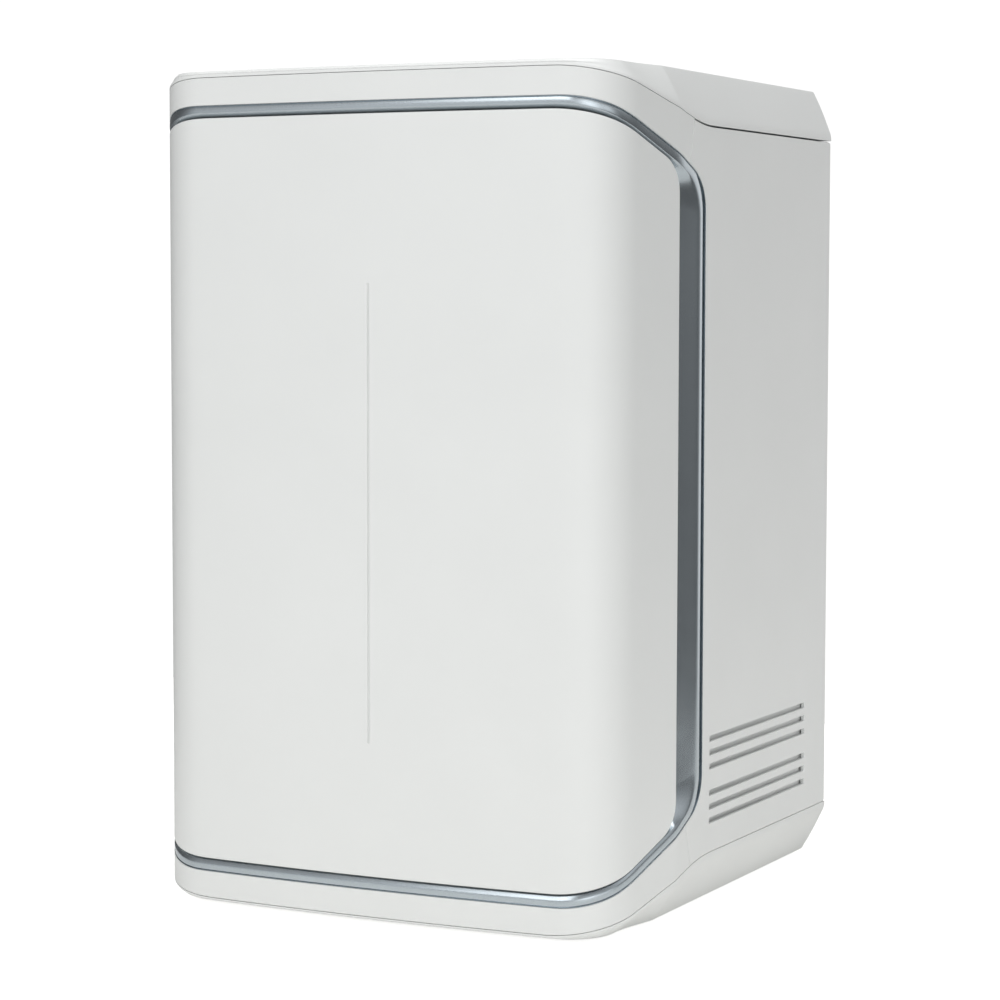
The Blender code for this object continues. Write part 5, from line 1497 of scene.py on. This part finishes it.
@dataclass
class Cartridge:
    """Filter cartridge: a ribbed, turned body that hangs by its neck, and a paddle to turn it by.

    Each pair of its rib section is a share of the rib's pitch and of its depth. Each pair of its
    paddle section is a share of the paddle's height and of its length and width. The powers give
    the paddle its squarish plan: 1 would be an ellipse.
    """

    stage: Stage
    neck: float = 0.020
    neck_edge: float = 0.001
    shoulder: float = 0.030
    shoulder_height: float = 0.014
    neck_reach: float = 0.022
    floor_round: float = 0.008
    ribs: int = 5
    rib_pitch: float = 0.009
    rib_depth: float = 0.0011
    rib_section_shares: Section = ((0.0, 0.0), (0.08, 0.8), (0.2, 1.0), (0.35, 0.8), (0.45, 0.0))
    paddle_height: float = 0.018
    paddle_width: float = 0.012
    paddle_length: float = 0.062
    paddle_section_shares: Section = (
        (0.0, 0.90), (0.04, 0.955), (0.12, 0.985), (0.85, 1.0), (1.05, 1.0),
    )
    paddle_powers: tuple[float, float] = (0.3, 0.5)
    paddle_steps: int = 48
    round_steps: int = 6

    def profile(self, radius: float, low: float, high: float) -> Profile:
        """Radius and height of each point of the turned body, from its floor to its neck.

        Args:
            radius: Largest radius.
            low: Height of the floor.
            high: Height of the neck's top.

        Returns:
            The profile.
        """
        points = [
            (
                radius - self.floor_round * (1 - math.sin(turn)),
                low + self.floor_round * (1 - math.cos(turn)),
            )
            for turn in quarter_turns(self.round_steps)
        ]
        shoulder_top = high - self.neck_reach
        shoulder_low = shoulder_top - self.shoulder_height
        first = shoulder_low - self.ribs * self.rib_pitch
        for rib in range(self.ribs):
            start = first + rib * self.rib_pitch
            for part, depth in self.rib_section_shares:
                points.append((radius - self.rib_depth * depth, start + part * self.rib_pitch))
        for step in range(self.round_steps + 1):
            part = step / self.round_steps
            points.append((
                mix(radius, self.shoulder, eased(part)), mix(shoulder_low, shoulder_top, part)
            ))
        neck, edge = self.neck, self.neck_edge
        return [*points, (neck, shoulder_top), (neck, high - edge), (neck - edge, high)]

    def build(self) -> None:
        """Builds the body and its paddle, and settles them."""
        name = f"{self.stage.value}_cartridge"
        low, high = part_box(name)
        centre = Vector(((low.x + high.x) / 2, (low.y + high.y) / 2, 0.0))
        radius = (high.x - low.x) / 2
        floor = low.z + self.paddle_height
        body = finished(turned(self.profile(radius, floor, high.z), centre), f"{name}_body")
        settle(body, CARTRIDGE_WHITE, Seat(self.stage.value, "moulded_white", (name,)))
        self.build_paddle(centre, low.z, floor)

    def build_paddle(self, centre: Vector, low: float, floor: float) -> None:
        """Builds the paddle as a tapered, round-edged grip.

        Args:
            centre: Foot of the cartridge's axis.
            low: Height of the paddle's underside.
            floor: Height of the body's floor.
        """
        long_power, wide_power = self.paddle_powers
        rows = []
        for share, swell in self.paddle_section_shares:
            height = mix(low, floor, share)
            half_length, half_width = self.paddle_length / 2 * swell, self.paddle_width / 2 * swell
            row = []
            for turn in full_turns(self.paddle_steps):
                x = math.copysign(abs(math.cos(turn)) ** long_power, math.cos(turn)) * half_length
                y = math.copysign(abs(math.sin(turn)) ** wide_power, math.sin(turn)) * half_width
                row.append(centre + Vector((x, y, height)))
            rows.append(row)
        paddle = finished(loft(rows, True), f"{self.stage.value}_paddle")
        settle(paddle, BLUE_ACETAL, Seat(self.stage.value, "moulded_white"))


@dataclass
class CaseScrews:
    """Round-headed socket screws that hold the rear panel."""

    head: float = 0.0034
    dome: float = 0.0021
    socket: float = 0.0013
    socket_depth: float = 0.0014
    sunk: float = 0.0003
    margin: float = 0.012
    levels: int = 3
    steps: int = 32
    dome_steps: int = 6

    def profile(self) -> Profile:
        """Radius and height of each point, over the domed head and down into its socket."""
        dome = [
            (
                mix(self.head, self.socket, 1 - math.cos(turn)),
                self.sunk + (self.dome - self.sunk) * math.sin(turn),
            )
            for turn in quarter_turns(self.dome_steps)
        ]
        return [(self.head, 0.0), *dome, (self.socket, self.dome - self.socket_depth)]

    def build(self) -> None:
        """Builds the screws at even heights along both sides of the rear panel."""
        low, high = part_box("rear_panel")
        shares = [level / (self.levels - 1) for level in range(self.levels)]
        heights = [mix(low.z + self.margin, high.z - self.margin, share) for share in shares]
        # A screw's axis turns from upright to straight back
        turn = Matrix.Rotation(-math.pi / 2, 3, "X")
        for hand, x in ((Hand.LEFT, low.x + self.margin), (Hand.RIGHT, high.x - self.margin)):
            for number, height in enumerate(heights, 1):
                bm = turned(self.profile(), Vector((0, 0, -self.sunk)), self.steps)
                bmesh.ops.rotate(bm, cent=(0, 0, 0), matrix=turn, verts=bm.verts)
                bmesh.ops.translate(bm, vec=(x, high.y, height), verts=bm.verts)
                screw = finished(bm, f"rear_{hand.value}_screw_{number}")
                settle(screw, STAINLESS, Seat("case", "stainless_steel"))


@dataclass
class InnerFrame:
    """CAD nodes that keep their shape: each gets its finish and softened edges."""

    edge: float = 0.0004
    fine_edge: float = 0.00015
    thin: float = 0.004
    weld_gap: float = 0.00001
    flat_angle: float = math.radians(0.5)
    edge_angle: float = math.radians(35)
    edge_steps: int = 2

    def finishes(self) -> dict[str, Finish]:
        """The finish of each kept node, by name."""
        groups: dict[Finish, str] = {
            ZINC_STEEL: "chassis base_frame door_hinge_plate hinge_rail pump_motor pump_rail "
                        "board_carrier power_supply",
            STAINLESS: "lower_hinge_pin upper_hinge_pin strike_plate stack_frame lamp_housing",
            GREY_ABS: "upper_soffit lower_sill manifold_block drip_tray lamp_bracket fan_rotor "
                      "fuse_drawer",
            BLACK_NYLON: "door_magnet fan_frame power_inlet power_rocker data_sockets feed_fitting "
                         "product_fitting drain_fitting",
            RUBBER: "front_left_foot front_right_foot rear_left_foot rear_right_foot",
            BLUE_ACETAL: "sanitisation_cap feed_collar product_collar drain_collar",
            CELL_STACK: "stack_cells",
            MILKY_TUBE: "feed_tube pump_tube product_tube drain_tube",
            SOLDER_MASK: "light_board control_board",
            TURNED_BRASS: "pump_head valve_block",
            WHITE_ABS: "rear_panel",
        }
        return {name: finish for finish, names in groups.items() for name in names.split()}

    def dress(self, item: bpy.types.Object, finish: Finish) -> None:
        """Softens a node's edges and gives it its finish.

        Args:
            item: The CAD node's object.
            finish: Its finish.
        """
        low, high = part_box(item.name)
        item.data.materials.clear()
        item.data.materials.append(finish.material)
        weld = item.modifiers.new("weld", "WELD")
        weld.merge_threshold = self.weld_gap
        flat = item.modifiers.new("flat", "DECIMATE")
        flat.decimate_type = "DISSOLVE"
        flat.angle_limit = self.flat_angle
        soft = item.modifiers.new("soft_edges", "BEVEL")
        soft.width = self.fine_edge if min(high - low) < self.thin else self.edge
        soft.segments = self.edge_steps
        soft.limit_method = "ANGLE"
        soft.angle_limit = self.edge_angle
        shade = item.modifiers.new("shade", "WEIGHTED_NORMAL")
        shade.keep_sharp = False
        LOG.info("%s dressed in %s", item.name, finish.name)

    def build(self) -> None:
        """Dresses every kept node."""
        for name, finish in self.finishes().items():
            self.dress(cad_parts[name], finish)


@dataclass(frozen=True)
class Glow:
    """A soft bright patch of the surroundings, round one direction."""

    way: tuple[float, float, float]
    strength: float
    sharpness: float


@dataclass(frozen=True)
class Softbox:
    """A square softbox that faces the object."""

    name: str
    place: tuple[float, float, float]
    side: float
    watts: float


@dataclass
class Studio:
    """White floor, soft light and the camera.

    Attributes:
        plan: The case, whose middle the softboxes face.
        dimness: Brightness of the surroundings away from every glow.
        backdrop: Brightness of the surroundings as the camera sees them.
        floor_glow: Light that the floor gives off, in place of a wider sweep.
        floor_lift: Extra light of the floor that only the camera sees.
        azimuth: Turn of the camera round the object, from straight ahead to the right.
        dip: How far the camera looks down.
        roll: How far it is turned on its own axis.
    """

    plan: CasePlan
    dimness: float = 0.15
    glows: tuple[Glow, ...] = (
        # Right front, the main light on the door and the flank
        Glow((0.58, -0.81, 0.05), 1.94, 16.0),
        # Left front, a weaker fill
        Glow((-0.5, -0.87, 0.05), 0.38, 10.0),
        # Behind, which the bead on the upright mirrors
        Glow((0.3, 0.95, 0.0), 1.0, 24.0),
        # High at the right, on the side panel and the top
        Glow((0.75, 0.1, 0.65), 0.75, 8.0),
        # Far right, a narrow one for the corner
        Glow((0.93, -0.37, 0.05), 1.1, 60.0),
        # Below the front, as light from the floor
        Glow((-0.1, -0.7, -0.6), 0.77, 3.0),
        # High in front
        Glow((-0.2, -0.45, 0.87), 0.30, 6.0),
    )
    softboxes: tuple[Softbox, ...] = (
        Softbox("front_softbox", (-0.4, -3.0, 1.6), 1.6, 17.6),
        Softbox("top_softbox", (0.2, -0.3, 3.0), 2.0, 43.0),
    )
    backdrop: float = 1.05
    floor_half: float = 0.8
    floor_cells: int = 8
    floor_clouds: float = 3.0
    floor_colour: str = "#f8f7f4"
    floor_shade: str = "#f5f4f1"
    floor_roughness: float = 0.9
    floor_glow: float = 0.125
    floor_lift: float = 0.60
    azimuth: float = math.radians(26.753)
    dip: float = math.radians(4.198)
    roll: float = math.radians(0.105)
    eye: tuple[float, float, float] = (0.9374, -1.8584, 0.4267)
    lens_mm: float = 103.835
    sensor_mm: float = 36.0
    clip: tuple[float, float] = (0.05, 50.0)

    def build_camera(self) -> None:
        """Sets the camera up as the photograph was taken."""
        aside, back = math.sin(self.azimuth), math.cos(self.azimuth)
        ahead = Vector((-aside * math.cos(self.dip), back * math.cos(self.dip), -math.sin(self.dip)))
        level = Vector((back, aside, 0))
        upright = level.cross(ahead)
        right = level * math.cos(self.roll) + upright * math.sin(self.roll)
        up = upright * math.cos(self.roll) - level * math.sin(self.roll)
        data = bpy.data.cameras.new("camera")
        data.lens = self.lens_mm
        data.sensor_width = self.sensor_mm
        data.clip_start, data.clip_end = self.clip
        camera = placed("camera", data)
        turn = Matrix((right, up, -ahead)).transposed()
        camera.matrix_world = Matrix.Translation(self.eye) @ turn.to_4x4()
        bpy.context.scene.camera = camera

    def build_floor(self) -> None:
        """Lays the pale floor, white paper whose faint clouds are a few tenths of a metre wide."""
        bm = bmesh.new()
        bmesh.ops.create_grid(
            bm, x_segments=self.floor_cells, y_segments=self.floor_cells, size=self.floor_half
        )
        floor = finished(bm, "floor")
        made = bpy.data.materials.new("white_paper_sweep")
        made.use_nodes = True
        tree = made.node_tree
        shader = tree.nodes["Principled BSDF"]
        place = add_node(tree, "ShaderNodeTexCoord").outputs["Object"]
        cloud = add_node(tree, "ShaderNodeTexNoise", {"Vector": place, "Scale": self.floor_clouds})
        tint = add_node(
            tree, "ShaderNodeMix",
            {"Factor": cloud.outputs["Fac"], "A": linear(self.floor_colour),
             "B": linear(self.floor_shade)},
            data_type="RGBA",
        )
        tree.links.new(tint.outputs["Result"], shader.inputs["Base Color"])
        shader.inputs["Roughness"].default_value = self.floor_roughness
        shader.inputs["Emission Color"].default_value = (1, 1, 1, 1)
        eye = add_node(tree, "ShaderNodeLightPath").outputs["Is Camera Ray"]
        glow = add_node(
            tree, "ShaderNodeMath", {0: eye, 1: self.floor_lift, 2: self.floor_glow},
            operation="MULTIPLY_ADD",
        )
        tree.links.new(glow.outputs["Value"], shader.inputs["Emission Strength"])
        floor.data.materials.append(made)

    def build_world(self) -> None:
        """Paints the surroundings: white to the eye, and soft glows for light and reflections."""
        world = bpy.data.worlds.new("studio")
        bpy.context.scene.world = world
        world.use_nodes = True
        tree = world.node_tree
        tree.nodes.clear()
        way = add_node(tree, "ShaderNodeTexCoord").outputs["Generated"]
        total: float | Socket = self.dimness
        for glow in self.glows:
            facing = add_node(
                tree, "ShaderNodeVectorMath", {0: way, 1: Vector(glow.way).normalized()},
                operation="DOT_PRODUCT",
            )
            front = add_node(
                tree, "ShaderNodeMath", {0: facing.outputs["Value"], 1: 0.0}, operation="MAXIMUM"
            )
            patch = add_node(
                tree, "ShaderNodeMath", {0: front.outputs["Value"], 1: glow.sharpness},
                operation="POWER",
            )
            added = add_node(
                tree, "ShaderNodeMath", {0: patch.outputs["Value"], 1: glow.strength, 2: total},
                operation="MULTIPLY_ADD",
            )
            total = added.outputs["Value"]
        grey = add_node(tree, "ShaderNodeCombineColor", {0: total, 1: total, 2: total})
        lit = add_node(tree, "ShaderNodeBackground", {"Color": grey.outputs["Color"], "Strength": 1.0})
        seen = add_node(
            tree, "ShaderNodeBackground", {"Color": (1, 1, 1, 1), "Strength": self.backdrop}
        )
        eye = add_node(tree, "ShaderNodeLightPath").outputs["Is Camera Ray"]
        both = add_node(
            tree, "ShaderNodeMixShader",
            {0: eye, 1: lit.outputs["Background"], 2: seen.outputs["Background"]},
        )
        add_node(tree, "ShaderNodeOutputWorld", {"Surface": both.outputs["Shader"]})

    def hang(self, box: Softbox) -> None:
        """Hangs a softbox that faces the object.

        Args:
            box: The softbox.
        """
        data = bpy.data.lights.new(box.name, "AREA")
        data.shape = "SQUARE"
        data.size = box.side
        data.energy = box.watts
        lamp = placed(box.name, data)
        lamp.location = box.place
        aim = Vector((0, 0, self.plan.height / 2)) - Vector(box.place)
        lamp.rotation_mode = "QUATERNION"
        lamp.rotation_quaternion = aim.to_track_quat("-Z", "Y")

    def build(self) -> None:
        """Builds the set."""
        bpy.context.scene.view_settings.view_transform = "Standard"
        self.build_floor()
        self.build_world()
        for box in self.softboxes:
            self.hang(box)
        self.build_camera()


def main() -> None:
    """Builds the pieces in order."""
    logging.basicConfig(level=logging.INFO, format="%(message)s")
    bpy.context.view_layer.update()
    plan = CasePlan.from_frame()
    rings = FrontRings(plan)
    upper, lower = UpperJoint(plan), LowerJoint(plan)
    Trim(rings).build()
    Door(rings).build()
    TopCover(upper).build()
    BottomCover(lower).build()
    Panels(rings, upper, lower).build()
    for stage in Stage:
        Cartridge(stage).build()
    CaseScrews().build()
    InnerFrame().build()
    Studio(plan).build()
    bpy.context.view_layer.update()


if __name__ == "__main__":
    main()
